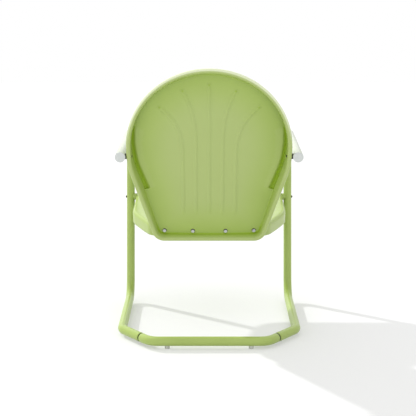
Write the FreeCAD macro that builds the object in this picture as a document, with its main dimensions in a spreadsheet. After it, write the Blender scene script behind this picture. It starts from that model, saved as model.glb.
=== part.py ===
"""Stamped steel patio chair on a bent tube spring frame.

Frame: +Z up, +Y to the rear, the sitter faces -Y and has +X at the left hand. The origin is on the floor
under the middle of the chair's box. Lengths are in millimetres, angles in degrees.
"""

import FreeCAD, Part
import math
import os

from FreeCAD import Placement, Rotation, Vector

SIZES = {
    # frame tube and its floor plan
    "overall_depth": 648.6,
    "tube_diameter": 28.6,
    "tube_wall": 1.6,
    "base_corner_setback": 115,
    "runner_toe_in": 10,
    "upright_setback": 130.3,
    "corner_bend": 45,
    "front_bend": 76,
    "upright_lean_angle": 10,
    "base_angle": 40,
    "base_bend": 55,
    "seam_inset": 67.5,
    "spigot_length": 40,
    "spigot_clearance": 0.2,
    # arms
    "arm_drop_angle": 5,
    "arm_bend": 76,
    "arm_wall": 1.2,
    "arm_clearance": 0.3,
    "arm_front_setback": 6,
    "arm_end_overhang": 16,
    "cap_thickness": 3,
    "cap_dome": 1.5,
    "cap_nut_gap": 2.2,
    "cap_clearance": 0.2,
    # back
    "sheet": 1.2,
    "recline_angle": 18,
    "back_bolt_setback": 124.5,
    "back_bolt_z": 569.9,
    "back_radius": 247,
    "back_circle_rise": 30,
    "back_side_run": 22,
    "back_taper_angle": 16.7,
    "back_foot_margin": 26.5,
    "back_foot_corner": 37,
    "back_depth": 20,
    "back_draft_angle": 20,
    "back_curve": 2232,
    "back_fillet": 10,
    "bead_diameter": 7,
    # pressed channels along the sides of the back
    "channel_inset": 16.5,
    "channel_radius": 8,
    "channel_depth": 13,
    "channel_top": 93,
    "channel_foot": 117,
    # pressed ribs of the back
    "rib_radius": 5,
    "rib_height": 3,
    "rib_foot": 195,
    "middle_rib_top": 225,
    "inner_rib_x": 41,
    "inner_rib_bend": 60,
    "inner_rib_end_x": 78,
    "inner_rib_top": 206,
    "outer_rib_x": 81,
    "outer_rib_bend": 20,
    "outer_rib_end_x": 147,
    "outer_rib_top": 154,
    # seat
    "seat_width": 524,
    "seat_slope_angle": 8.4,
    "seat_rear_drop": 239.4,
    "seat_skirt": 45,
    "seat_dish": 16,
    "seat_front_corner": 60,
    "seat_rear_corner": 66,
    "seat_taper_angle": 24.5,
    "seat_taper_bend": 150,
    "seat_fillet": 11,
    "seat_back_gap": 0.2,
    "seat_fastener_gap": 0.15,
    "seat_bolt_drop": 26.4,
    # fasteners and spacers
    "bolt_diameter": 6,
    "bolt_clearance": 0.3,
    "bolt_tail": 2,
    "pan_head_diameter": 8.5,
    "pan_head_height": 3.4,
    "hex_across": 10,
    "hex_head_height": 4,
    "nut_height": 5,
    "nut_clearance": 0.05,
    "washer_diameter": 13,
    "washer_thickness": 1.2,
    "back_spacer_length": 12.2,
    "back_spacer_diameter": 17,
    "back_spacer_bead_gap": 0.5,
    "seat_spacer_diameter": 24,
    "seat_spacer_length": 8.2,
    "upright_clearance": 0.3,
    "nut_fillet_gap": 0.7,
    "inner_seat_back_bolt_x": 52,
    "outer_seat_back_bolt_x": 142,
    "seat_corner_bolt_margin": 3,
    "joint_screw_diameter": 4.2,
    "joint_screw_clearance": 0.05,
    "joint_screw_length": 10,
    "joint_screw_head_diameter": 8,
    "joint_screw_head_height": 2.2,
    # feet
    "glide_height": 8,
    "glide_diameter": 15,
    "glide_saddle": 2,
    "glide_stem_diameter": 6,
    "glide_stem_length": 6,
    "glide_stem_clearance": 0.2,
    "rear_glide_spacing": 253,
    "corner_glide_setback": 24,
    "front_glide_setback": 82,
}

doc = FreeCAD.newDocument("PatioChair")
sheet = doc.addObject("Spreadsheet::Sheet", "sizes")
for row, (alias, number) in enumerate(SIZES.items(), start=1):
    sheet.set(f"A{row}", alias)
    sheet.set(f"B{row}", str(number))
    sheet.setAlias(f"B{row}", alias)
doc.recompute()


def size(alias):
    return float(sheet.get(alias))


def cosine(alias):
    return math.cos(math.radians(size(alias)))


def sine(alias):
    return math.sin(math.radians(size(alias)))


def tangent(alias):
    return math.tan(math.radians(size(alias)))


UP = Vector(0, 0, 1)
SIDES = {"left": 1, "right": -1}
PAST = 20  # how far a cutting shape runs past what it cuts
SAME_RADIUS = 0.01  # two radii closer than this are one and the same

# Sizes that follow from the sheet
tube_radius = size("tube_diameter") / 2
tube_bore = tube_radius - size("tube_wall")
arm_bore = tube_radius + size("arm_clearance")
arm_radius = arm_bore + size("arm_wall")
floor_axis = size("glide_height") + tube_radius
seat_half = size("seat_width") / 2
side_x = seat_half + size("seat_spacer_length") + tube_radius
rear_y = size("overall_depth") / 2
crossbar_y = rear_y - tube_radius
back_bolt_y = rear_y - size("back_bolt_setback")
sheet_wall = size("sheet")
bolt_hole = "sizes.bolt_diameter / 2 + sizes.bolt_clearance"
hex_corner = size("hex_across") / 2 / math.cos(math.radians(30))

# The back's own frame: X across, Y up along the back, Z forward, with its rear rim in the plane Z = 0 and
# its arm bolts at Y = 0. The seat's frame has the same origin, with Y to the rear and Z up along the back.
bolt_setback = size("bead_diameter") + size("back_spacer_bead_gap") + size("back_spacer_diameter") / 2
rim_origin = Vector(
    0,
    back_bolt_y + bolt_setback * cosine("recline_angle"),
    size("back_bolt_z") - bolt_setback * sine("recline_angle"),
)
back_place = Placement(rim_origin, Rotation(Vector(1, 0, 0), 90 - size("recline_angle")))
seat_place = Placement(rim_origin, Rotation(Vector(1, 0, 0), -size("recline_angle")))

# The sloping flange of the back at its arm bolts, and the arm beside it
flange_radius = size("back_radius") - bolt_setback * tangent("back_draft_angle")
hip_rise = size("back_circle_rise") - size("back_side_run")
flange_x = math.sqrt(flange_radius**2 - hip_rise**2)
flange_facing = cosine("back_draft_angle") * flange_x / flange_radius
arm_bolt = Vector(
    flange_x + size("back_spacer_length") + arm_radius, back_bolt_y, size("back_bolt_z")
)


def panel_z(x, behind=0):
    """Height of the back's front skin in the back's frame, or of a skin that lies behind it."""
    radius = size("back_curve")
    return size("back_depth") + radius - math.sqrt((radius + behind) ** 2 - x**2)


# The seat's side view, in the seat's frame
seat_rear = -size("back_depth") - size("seat_back_gap")
seat_rise = math.tan(math.radians(size("recline_angle") - size("seat_slope_angle")))


def seat_top(y):
    """Height of the seat's rim line in the seat's frame."""
    return -size("seat_rear_drop") + seat_rise * (y - seat_rear)


# The skirt's front foot reaches the front of the chair's box
front_reach = -rear_y - rim_origin.y
front_foot = sine("recline_angle") * (seat_top(0) - size("seat_skirt"))
seat_front = (front_reach - front_foot) / (cosine("recline_angle") + sine("recline_angle") * seat_rise)


def seat_arc():
    """Centre and radius, in the side view, of the arc that the seat's top follows."""
    front = Vector(seat_front, seat_top(seat_front), 0)
    rear = Vector(seat_rear, seat_top(seat_rear), 0)
    chord = rear - front
    dish = size("seat_dish")
    radius = chord.Length**2 / (8 * dish) + dish / 2
    upward = Vector(-chord.y, chord.x, 0).normalize()
    return (front + rear) * 0.5 + upward * (radius - dish), radius


# The bolts along the foot of the back pass just below the round of the seat's rear edge
seat_arc_centre, seat_arc_radius = seat_arc()
seat_rear_angle = math.pi / 2 - math.asin((seat_rear - seat_arc_centre.x) / seat_arc_radius)
seat_round_foot = size("seat_rear_drop") + size("seat_fillet") / math.tan(seat_rear_angle / 2)
back_seat_bolt_drop = seat_round_foot + hex_corner + size("nut_fillet_gap")
back_foot = back_seat_bolt_drop + size("back_foot_margin")


# Helpers for document objects
def cylinder(name, radius, length, place):
    rod = doc.addObject("Part::Cylinder", name)
    rod.setExpression("Radius", radius)
    rod.setExpression("Height", length)
    rod.Placement = place
    return rod


def hexagon(name, height, place):
    prism = doc.addObject("Part::Prism", name)
    prism.Polygon = 6
    prism.setExpression("Circumradius", "sizes.hex_across / 2 / cos(30deg)")
    prism.setExpression("Height", height)
    prism.Placement = place
    return prism


def fuse(name, shapes):
    joined = doc.addObject("Part::MultiFuse", name)
    joined.Shapes = shapes
    return joined


def cut(name, base, tools):
    made = doc.addObject("Part::Cut", name)
    made.Base = base
    made.Tool = tools[0] if len(tools) == 1 else fuse(name + "_tools", tools)
    return made


def group(name, members):
    made = doc.addObject("Part::Compound", name)
    made.Links = members
    return made


def along(point, direction):
    """A place at a point with its Z axis along a direction."""
    return Placement(point, Rotation(UP, direction))


def mirrored(point, side):
    return Vector(point.x * side, point.y, point.z)


# Bent tubes: straight runs joined by tangent arcs
def bent_path(corners, radii):
    edges = []
    start = corners[0]
    for before, corner, after, radius in zip(corners, corners[1:], corners[2:], radii):
        back = (before - corner).normalize()
        ahead = (after - corner).normalize()
        half_turn = (math.pi - back.getAngle(ahead)) / 2
        reach = radius * math.tan(half_turn)
        inward = Vector(back + ahead).normalize()
        middle = corner + inward * (radius / math.cos(half_turn) - radius)
        first = corner + back * reach
        last = corner + ahead * reach
        edges.append(Part.LineSegment(start, first).toShape())
        edges.append(Part.Arc(first, middle, last).toShape())
        start = last
    edges.append(Part.LineSegment(start, corners[-1]).toShape())
    return Part.Wire(edges)


def swept_rod(name, path, radius):
    spine = doc.addObject("Part::Feature", name + "_path")
    spine.Shape = path
    first = path.OrderedEdges[0]
    start = first.valueAt(first.FirstParameter)
    section = doc.addObject("Part::Circle", name + "_section")
    section.setExpression("Radius", radius)
    section.Placement = along(start, first.tangentAt(first.FirstParameter))
    rod = doc.addObject("Part::Sweep", name)
    rod.Sections = [section]
    rod.Spine = (spine, [])
    rod.Solid = True
    return rod


# Sketched bodies
def new_body(name, place):
    body = doc.addObject("PartDesign::Body", name)
    body.Placement = place
    return body


def add_sketch(body, role, geometry, height=0):
    sketch = body.newObject("Sketcher::SketchObject", f"{body.Name}_sketch")
    plane = next(feature for feature in body.Origin.OriginFeatures if feature.Role == role)
    sketch.AttachmentSupport = [(plane, "")]
    sketch.MapMode = "FlatFace"
    sketch.AttachmentOffset = Placement(Vector(0, 0, height), Rotation())
    sketch.addGeometry(geometry, False)
    return sketch


def closed_lines(points):
    return [Part.LineSegment(first, last) for first, last in zip(points, points[1:] + points[:1])]


def add_symmetric_pad(body, sketch, length):
    pad = body.newObject("PartDesign::Pad", f"{body.Name}_pad")
    pad.Profile = sketch
    pad.setExpression("Length", length)
    pad.SideType = "Symmetric"
    return pad


def add_through_pocket(body, sketch):
    pocket = body.newObject("PartDesign::Pocket", f"{body.Name}_pocket")
    pocket.Profile = sketch
    pocket.Type = "ThroughAll"
    pocket.SideType = "Symmetric"
    return pocket


def add_skin_fillet(body, base, skin_radius, radius):
    """Round the edges of the curved skin, which is the face of the given radius."""
    doc.recompute()
    skin = next(
        face
        for face in base.Shape.Faces
        if isinstance(face.Surface, Part.Cylinder) and abs(face.Surface.Radius - skin_radius) < SAME_RADIUS
    )
    edges = [
        f"Edge{index}"
        for index, edge in enumerate(base.Shape.Edges, start=1)
        if any(edge.isSame(other) for other in skin.Edges)
    ]
    fillet = body.newObject("PartDesign::Fillet", f"{body.Name}_fillet")
    fillet.Base = (base, edges)
    fillet.setExpression("Radius", radius)
    return fillet


# Back: a tray with a curved panel, a flange towards the rear, a rolled edge and pressed ribs
def back_outline(inset, height=0):
    """The closed outline of the back: a round top, short upright sides, two tapers and a straight foot."""
    taper_out = Vector(cosine("back_taper_angle"), -sine("back_taper_angle"), 0)
    side_out = Vector(taper_out.x + 1, taper_out.y, 0).normalize()
    radius = size("back_radius") - inset
    foot_radius = size("back_foot_corner") - inset
    top_centre = Vector(0, size("back_circle_rise"), height)
    hip_centre = Vector(0, hip_rise, height)
    foot = inset - back_foot
    corner_y = foot + foot_radius
    corner_reach = radius - foot_radius + (corner_y - hip_rise) * sine("back_taper_angle")
    corner = Vector(corner_reach / cosine("back_taper_angle"), corner_y, height)
    half_way = Vector(taper_out.x, taper_out.y - 1, 0).normalize()

    side = [top_centre + Vector(radius, 0, 0), hip_centre + Vector(radius, 0, 0)]
    hip = [hip_centre + side_out * radius, hip_centre + taper_out * radius]
    turn = [corner + taper_out * foot_radius, corner + half_way * foot_radius]
    toe = Vector(corner.x, foot, height)
    right = side + hip + turn + [toe]
    left = [mirrored(point, -1) for point in right]
    return [
        Part.Arc(right[0], top_centre + Vector(0, radius, 0), left[0]),
        Part.LineSegment(left[0], left[1]),
        Part.Arc(left[1], left[2], left[3]),
        Part.LineSegment(left[3], left[4]),
        Part.Arc(left[4], left[5], left[6]),
        Part.LineSegment(left[6], right[6]),
        Part.Arc(right[6], right[5], right[4]),
        Part.LineSegment(right[4], right[3]),
        Part.Arc(right[3], right[2], right[1]),
        Part.LineSegment(right[1], right[0]),
    ]


def back_block(name, inset, inset_text, low):
    """The solid behind one skin of the back: the front skin, or the rear skin one sheet further in."""
    body = new_body(name, back_place)
    reach = size("back_radius") + PAST
    edge = panel_z(reach, inset)
    wall = body.newObject("PartDesign::AdditiveLoft", f"{name}_wall")
    outlines = []
    for height in (low, edge):
        sloped = inset / cosine("back_draft_angle") + height * tangent("back_draft_angle")
        outlines.append(add_sketch(body, "XY_Plane", back_outline(sloped), height))
    wall.Profile = outlines[0]
    wall.Sections = [outlines[1]]
    wall.Ruled = True
    far = edge + PAST
    points = [Vector(reach, edge, 0), Vector(reach, far, 0), Vector(-reach, far, 0), Vector(-reach, edge, 0)]
    front = closed_lines(points)[:3]
    front.append(Part.Arc(points[3], Vector(0, panel_z(0, inset), 0), points[0]))
    pocket = add_through_pocket(body, add_sketch(body, "XZ_Plane", front))
    add_skin_fillet(body, pocket, size("back_curve") + inset, f"sizes.back_fillet - {inset_text}")
    return body


def rib_path(x, bend, end_x, top):
    """A rib's middle line on the panel: straight up from its foot, then an arc that flares outwards."""
    lift = size("rib_radius") - size("rib_height") - sheet_wall

    def on_panel(across, up):
        return back_place.multVec(Vector(across, up, panel_z(across) + lift))

    foot = on_panel(x, -size("rib_foot"))
    knee = on_panel(x, bend)
    edges = [Part.LineSegment(foot, knee).toShape()]
    if end_x != x:
        end = on_panel(end_x, top)
        rise = (knee - foot).normalize()
        chord = end - knee
        outward = (chord - rise * chord.dot(rise)).normalize()
        radius = chord.Length**2 / (2 * chord.dot(outward))
        half_turn = math.atan2(chord.dot(outward), chord.dot(rise))
        middle = knee + rise * (radius * math.sin(half_turn)) + outward * (radius * (1 - math.cos(half_turn)))
        edges.append(Part.Arc(knee, middle, end).toShape())
    return Part.Wire(edges)


def rib_rods(name, radius):
    """Round-ended rods along all five ribs."""
    inner = (size("inner_rib_x"), size("inner_rib_bend"), size("inner_rib_end_x"), size("inner_rib_top"))
    outer = (size("outer_rib_x"), size("outer_rib_bend"), size("outer_rib_end_x"), size("outer_rib_top"))
    middle_top = size("middle_rib_top")
    ribs = [(0, middle_top, 0, middle_top)]
    for side in SIDES.values():
        for x, bend, end_x, top in (inner, outer):
            ribs.append((x * side, bend, end_x * side, top))
    pieces = []
    for number, rib in enumerate(ribs, start=1):
        path = rib_path(*rib)
        pieces.append(swept_rod(f"{name}_{number}", path, radius))
        ends = (path.OrderedVertexes[0].Point, path.OrderedVertexes[-1].Point)
        for end_name, end in zip(("foot", "top"), ends):
            ball = doc.addObject("Part::Sphere", f"{name}_{number}_{end_name}")
            ball.setExpression("Radius", radius)
            ball.Placement = Placement(end, Rotation())
            pieces.append(ball)
    return fuse(name, pieces)


def channel_rods(name, radius, end_wall):
    """A rod along each side of the panel, level with it at the top and sunk forward to the foot."""
    centre_y = (size("back_circle_rise") + hip_rise) / 2
    run_radius = size("back_radius") - size("channel_inset")
    top = size("channel_top")
    foot = -size("channel_foot")
    top_x = math.sqrt(run_radius**2 - (top - centre_y) ** 2)
    foot_x = (run_radius + (foot - centre_y) * sine("back_taper_angle")) / cosine("back_taper_angle")
    top_z = panel_z(top_x) - size("channel_radius")
    foot_z = panel_z(foot_x) + size("channel_depth") - size("channel_radius")

    def on_run(across, up):
        return Vector(across, up, top_z + (foot_z - top_z) * (top - up) / (top - foot))

    taper = math.radians(size("back_taper_angle"))
    start = math.asin((top - centre_y) / run_radius)
    turns = (start, (start - taper) / 2, -taper)
    arc = [on_run(run_radius * math.cos(turn), centre_y + run_radius * math.sin(turn)) for turn in turns]
    rods = []
    for side_name, side in SIDES.items():
        bend = Part.Arc(*[back_place.multVec(mirrored(point, side)) for point in arc]).toShape()
        ahead = bend.tangentAt(bend.LastParameter)
        joint = bend.valueAt(bend.LastParameter)
        length = (arc[2].y - foot) / cosine("back_taper_angle") - end_wall
        run = Part.LineSegment(joint, joint + ahead * length).toShape()
        rods.append(swept_rod(f"{side_name}_{name}", Part.Wire([bend, run]), radius))
    return rods


def back_bolt_drill(name, side):
    """A drill across the flange, the spacer and the near wall of the arm."""
    start = Vector((flange_x - PAST) * side, arm_bolt.y, arm_bolt.z)
    return cylinder(name, bolt_hole, f"{arm_bolt.x - flange_x + PAST}", along(start, Vector(side, 0, 0)))


def back_seat_places():
    """Where the four bolts meet the panel's front skin, each with its Z axis forward, square to it."""
    places = []
    xs = (size("inner_seat_back_bolt_x"), size("outer_seat_back_bolt_x"))
    for x in [side * across for side in SIDES.values() for across in xs]:
        turn = math.degrees(math.asin(x / size("back_curve")))
        local = Placement(
            Vector(x, -back_seat_bolt_drop, panel_z(x)), Rotation(Vector(0, 1, 0), -turn)
        )
        places.append(back_place.multiply(local))
    return places


def shifted(place, distance):
    """The same place, moved along its own Z axis."""
    return place.multiply(Placement(Vector(0, 0, distance), Rotation()))


def back_seat_drills(name):
    drills = []
    for number, place in enumerate(back_seat_places(), start=1):
        drills.append(cylinder(f"{name}_{number}", bolt_hole, f"{2 * PAST}", shifted(place, -PAST)))
    return drills


front_block = back_block("back_front_block", 0, "0", 0)
rear_block = back_block("back_rear_block", sheet_wall, "sizes.sheet", -PAST)
grooves = rib_rods("rib_grooves", "sizes.rib_radius - sizes.sheet")
ridges = rib_rods("rib_ridges", "sizes.rib_radius")
channel_skins = channel_rods("channel_skin", "sizes.channel_radius", 0)
channel_bores = channel_rods("channel_bore", "sizes.channel_radius - sizes.sheet", sheet_wall)
back_front = cut("back_front", fuse("back_channelled_front", [front_block] + channel_skins), [grooves])
back_rear = cut("back_rear", fuse("back_channelled_rear", [rear_block] + channel_bores), [ridges])
back_sheet = cut("back_sheet", back_front, [back_rear])

bead_outline = back_outline(sheet_wall / 2, size("bead_diameter") / 2)
bead_path = Part.Wire([curve.toShape() for curve in bead_outline])
bead_path.transformShape(back_place.Matrix)
back_bead = swept_rod("back_bead", bead_path, "sizes.bead_diameter / 2")
back_drills = back_seat_drills("back_drill")
for side_name, side in SIDES.items():
    back_drills.append(back_bolt_drill(f"{side_name}_flange_drill", side))
back_shell = cut("back_shell", fuse("back_beaded", [back_sheet, back_bead]), back_drills)

# Seat: a pan with a dished top and a skirt all round, whose rear skirt lies along the back's panel
def seat_outline(inset):
    """The seat from above: a curved rear edge along the panel, tapered rear corners and straight sides."""
    half = seat_half - inset
    rear_radius = size("back_curve") - size("seat_back_gap") - inset
    rear_centre = Vector(0, -size("back_depth") - size("back_curve"), 0)
    corner_radius = size("seat_rear_corner") - inset
    bend_radius = size("seat_taper_bend") - inset
    front_radius = size("seat_front_corner") - inset

    # The round corners begin just outside the outer bolts
    corner_start = size("outer_seat_back_bolt_x") + size("seat_corner_bolt_margin")
    corner_turn = math.asin(corner_start / (rear_radius + inset))
    outward = Vector(math.sin(corner_turn), math.cos(corner_turn), 0)
    corner = rear_centre + outward * (rear_radius - corner_radius)
    taper_out = Vector(cosine("seat_taper_angle"), sine("seat_taper_angle"), 0)
    bend_x = half - bend_radius
    bend_reach = corner_radius - bend_radius - (bend_x - corner.x) * taper_out.x
    bend = Vector(bend_x, corner.y + bend_reach / taper_out.y, 0)
    front = seat_front + inset
    front_corner = Vector(half - front_radius, front + front_radius, 0)
    diagonal = math.sqrt(0.5)

    right = [
        corner + outward * corner_radius,
        corner + (outward + taper_out).normalize() * corner_radius,
        corner + taper_out * corner_radius,
        bend + taper_out * bend_radius,
        bend + (taper_out + Vector(1, 0, 0)).normalize() * bend_radius,
        bend + Vector(bend_radius, 0, 0),
        front_corner + Vector(front_radius, 0, 0),
        front_corner + Vector(diagonal, -diagonal, 0) * front_radius,
        front_corner - Vector(0, front_radius, 0),
    ]
    left = [mirrored(point, -1) for point in right]
    return [
        Part.Arc(left[0], rear_centre + Vector(0, rear_radius, 0), right[0]),
        Part.Arc(*right[0:3]),
        Part.LineSegment(*right[2:4]),
        Part.Arc(*right[3:6]),
        Part.LineSegment(*right[5:7]),
        Part.Arc(*right[6:9]),
        Part.LineSegment(right[8], left[8]),
        Part.Arc(*left[8:5:-1]),
        Part.LineSegment(*left[6:4:-1]),
        Part.Arc(*left[5:2:-1]),
        Part.LineSegment(*left[3:1:-1]),
        Part.Arc(*left[2::-1]),
    ]


def seat_block(name, inset, inset_text, foot_drop):
    """The solid under one skin of the seat: the top skin, or the under skin one sheet further in."""
    centre = seat_arc_centre
    radius = seat_arc_radius
    ends = (seat_front - PAST, (seat_front + seat_rear) / 2, seat_rear + PAST)

    def skin(y, drop, sink):
        return Vector(y, centre.y - sink - math.sqrt((radius + drop) ** 2 - (y - centre.x) ** 2), 0)

    top = [skin(y, inset, 0) for y in ends]
    foot = [skin(y, 0, foot_drop) for y in ends]
    profile = [
        Part.Arc(*top),
        Part.LineSegment(top[2], foot[2]),
        Part.Arc(*reversed(foot)),
        Part.LineSegment(foot[0], top[0]),
    ]
    body = new_body(name, seat_place)
    width = f"sizes.seat_width + {2 * PAST}"
    add_symmetric_pad(body, add_sketch(body, "YZ_Plane", profile), width)
    across = seat_half + 2 * PAST
    front = ends[0] - PAST
    rear = ends[2] + PAST
    frame = [Vector(across, rear, 0), Vector(across, front, 0)]
    frame += [Vector(-across, front, 0), Vector(-across, rear, 0)]
    trim = add_sketch(body, "XY_Plane", closed_lines(frame) + seat_outline(inset))
    pocket = add_through_pocket(body, trim)
    add_skin_fillet(body, pocket, radius + inset, f"sizes.seat_fillet - {inset_text}")
    return body


def seat_bolt_drill(name, side):
    """A drill across the upright, the spacer and the seat's skirt."""
    start = Vector((seat_half - PAST) * side, seat_bolt.y, seat_bolt.z)
    length = side_x + tube_radius - seat_half + 2 * PAST
    return cylinder(name, bolt_hole, f"{length}", along(start, Vector(side, 0, 0)))


# Frame: the corners of one side tube's middle line, on the +X side
runner_rear = Vector(
    side_x - size("runner_toe_in"), crossbar_y - size("base_corner_setback"), floor_axis
)
seam = runner_rear + Vector(-1, 1 / tangent("base_angle"), 0) * size("seam_inset")
base_direction = (runner_rear - seam).normalize()
crossbar_corner = seam - base_direction * ((crossbar_y - seam.y) / cosine("base_angle"))

lean = tangent("upright_lean_angle")
drop = tangent("arm_drop_angle")
upright_foot = Vector(side_x, size("upright_setback") - rear_y, floor_axis)


def seat_bolt_place():
    """Where the upright's middle line crosses a line in the skirt, below the seat's rim line."""
    level = seat_top(0) - size("seat_bolt_drop")
    behind = seat_place.multVec(Vector(0, 0, level))
    ahead = seat_place.Rotation.multVec(Vector(0, -1, -seat_rise))
    reach = behind.y - upright_foot.y + lean * (behind.z - floor_axis)
    return behind - ahead * (reach / (ahead.y + lean * ahead.z))


seat_bolt = seat_bolt_place()


seat_top_block = seat_block("seat_top_block", 0, "0", size("seat_skirt"))
seat_under_block = seat_block("seat_under_block", sheet_wall, "sizes.sheet", size("seat_skirt") + PAST)
seat_drills = back_seat_drills("seat_rear_drill")
for side_name, side in SIDES.items():
    seat_drills.append(seat_bolt_drill(f"{side_name}_skirt_drill", side))
seat_pan = cut("seat_pan", cut("seat_sheet", seat_top_block, [seat_under_block]), seat_drills)

# The upright and the arm meet where both lines reach the same height
meet_z = arm_bolt.z + drop * (arm_bolt.y - upright_foot.y - lean * floor_axis)
meet_z /= 1 - drop * lean
upright_top = Vector(side_x, upright_foot.y - lean * (meet_z - floor_axis), meet_z)
arm_direction = (arm_bolt - upright_top).normalize()
arm_end = arm_bolt + arm_direction * size("arm_end_overhang")
arm_turn = (upright_foot - upright_top).getAngle(arm_direction)
arm_start = upright_top + arm_direction * (
    size("arm_bend") / math.tan(arm_turn / 2) + size("arm_front_setback")
)


def on_runner(y):
    """The point of the runner's middle line at a given Y."""
    run = runner_rear - upright_foot
    return upright_foot + run * ((y - upright_foot.y) / run.y)


def glide_places():
    """The tube's middle point above each of the six feet, with the tube's direction there."""
    runner = (runner_rear - upright_foot).normalize()
    crossbar = Vector(size("rear_glide_spacing") / 2, crossbar_y, floor_axis)
    corner = on_runner(runner_rear.y - size("corner_glide_setback"))
    front = on_runner(upright_foot.y + size("front_glide_setback"))
    feet = {"rear": (crossbar, Vector(1, 0, 0)), "corner": (corner, runner), "front": (front, runner)}
    places = {}
    for side_name, side in SIDES.items():
        for foot_name, (point, direction) in feet.items():
            places[f"{side_name}_{foot_name}"] = (mirrored(point, side), mirrored(direction, side))
    return places


def glide_drill(name, point):
    place = Placement(Vector(point.x, point.y, 0), Rotation())
    radius = "sizes.glide_stem_diameter / 2 + sizes.glide_stem_clearance"
    return cylinder(name, radius, f"{floor_axis}", place)


def joint_screw_point(side):
    """The middle of a spigot, on the tube's middle line."""
    return mirrored(seam + base_direction * (size("spigot_length") / 2), side)


def joint_drill(name, side):
    point = joint_screw_point(side)
    place = Placement(Vector(point.x, point.y, 0), Rotation())
    radius = "sizes.joint_screw_diameter / 2 + sizes.joint_screw_clearance"
    return cylinder(name, radius, f"{floor_axis}", place)


def side_tube(side_name, side):
    corners = [mirrored(point, side) for point in (seam, runner_rear, upright_foot, upright_top, arm_end)]
    path = bent_path(corners, [size("corner_bend"), size("front_bend"), size("arm_bend")])
    outer = swept_rod(f"{side_name}_tube_outer", path, "sizes.tube_diameter / 2")
    bore = swept_rod(f"{side_name}_tube_bore", path, "sizes.tube_diameter / 2 - sizes.tube_wall")
    drills = [
        back_bolt_drill(f"{side_name}_tube_arm_drill", side),
        seat_bolt_drill(f"{side_name}_tube_seat_drill", side),
        joint_drill(f"{side_name}_tube_joint_drill", side),
    ]
    for place in ("corner", "front"):
        point, _ = glide_places()[f"{side_name}_{place}"]
        drills.append(glide_drill(f"{side_name}_{place}_glide_drill", point))
    hollow = cut(f"{side_name}_tube_hollow", outer, [bore])
    return cut(f"{side_name}_side_tube", hollow, drills)


def rear_tube():
    right = [crossbar_corner, seam]
    left = [mirrored(point, -1) for point in (seam, crossbar_corner)]
    bends = [size("base_bend")] * 2
    path = bent_path(left + right, bends)
    tip = seam + base_direction * size("spigot_length")
    spigot_path = bent_path([mirrored(tip, -1), left[1], crossbar_corner, tip], bends)
    outer = swept_rod("rear_tube_outer", path, "sizes.tube_diameter / 2")
    spigot_radius = "sizes.tube_diameter / 2 - sizes.tube_wall - sizes.spigot_clearance"
    spigots = swept_rod("rear_tube_spigots", spigot_path, spigot_radius)
    bore = swept_rod("rear_tube_bore", spigot_path, f"{spigot_radius} - sizes.tube_wall")
    drills = [joint_drill(f"{side_name}_spigot_drill", side) for side_name, side in SIDES.items()]
    for side_name in SIDES:
        point, _ = glide_places()[f"{side_name}_rear"]
        drills.append(glide_drill(f"{side_name}_rear_glide_drill", point))
    hollow = cut("rear_tube_hollow", fuse("rear_tube_stepped", [outer, spigots]), [bore])
    return cut("rear_base_tube", hollow, drills)


# Arms: a white tube over each arm run, closed by a cap behind
def arm(side_name, side):
    direction = mirrored(arm_direction, side)
    place = along(mirrored(arm_start, side), direction)
    length = (arm_end - arm_start).Length
    outer_radius = "sizes.tube_diameter / 2 + sizes.arm_clearance + sizes.arm_wall"
    outer = cylinder(f"{side_name}_arm_outer", outer_radius, f"{length}", place)
    bore = cylinder(
        f"{side_name}_arm_bore",
        "sizes.tube_diameter / 2 + sizes.arm_clearance",
        f"{length + 2 * PAST}",
        shifted(place, -PAST),
    )
    hollow = cut(f"{side_name}_arm_hollow", outer, [bore])
    return cut(f"{side_name}_arm", hollow, [back_bolt_drill(f"{side_name}_arm_drill", side)])


def arm_cap(side_name, side):
    """A domed disc with a plug that fits the bore of the frame tube and ends short of the nut in it."""
    plug = tube_bore - size("cap_clearance")
    plug_length = size("arm_end_overhang") - hex_corner - size("cap_nut_gap")
    rim = size("cap_thickness") - size("cap_dome")
    crown = Vector(0, size("cap_thickness"), 0)
    dome_radius = (arm_radius**2 + size("cap_dome") ** 2) / (2 * size("cap_dome"))
    half_angle = math.asin(arm_radius / dome_radius) / 2
    brow = crown + Vector(math.sin(half_angle), math.cos(half_angle) - 1, 0) * dome_radius
    points = [
        Vector(0, -plug_length, 0),
        Vector(plug, -plug_length, 0),
        Vector(plug, 0, 0),
        Vector(arm_radius, 0, 0),
        Vector(arm_radius, rim, 0),
    ]
    profile = [Part.LineSegment(first, last) for first, last in zip(points, points[1:])]
    profile.append(Part.Arc(points[-1], brow, crown))
    profile.append(Part.LineSegment(crown, points[0]))
    body = new_body(f"{side_name}_arm_end_cap", along(mirrored(arm_end, side), mirrored(arm_direction, side)))
    sketch = add_sketch(body, "XZ_Plane", profile)
    turned = body.newObject("PartDesign::Revolution", f"{side_name}_cap_turned")
    turned.Profile = sketch
    turned.ReferenceAxis = (sketch, ["V_Axis"])
    turned.Angle = 360
    return body


# Fasteners
def pan_bolt(name, place, length):
    """A round-headed bolt: its shank along Z from the place, its head behind the place."""
    shank = cylinder(f"{name}_shank", "sizes.bolt_diameter / 2", f"{length}", place)
    head = cylinder(
        f"{name}_head",
        "sizes.pan_head_diameter / 2",
        "sizes.pan_head_height",
        shifted(place, -size("pan_head_height")),
    )
    return fuse(name, [shank, head])


def hex_bolt(name, place, length):
    shank = cylinder(f"{name}_shank", "sizes.bolt_diameter / 2", f"{length}", place)
    head = hexagon(f"{name}_head", "sizes.hex_head_height", shifted(place, -size("hex_head_height")))
    return fuse(name, [shank, head])


def nut(name, place):
    bore = cylinder(
        f"{name}_bore",
        "sizes.bolt_diameter / 2 + sizes.nut_clearance",
        f"sizes.nut_height + {2 * PAST}",
        shifted(place, -PAST),
    )
    return cut(name, hexagon(f"{name}_blank", "sizes.nut_height", place), [bore])


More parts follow.
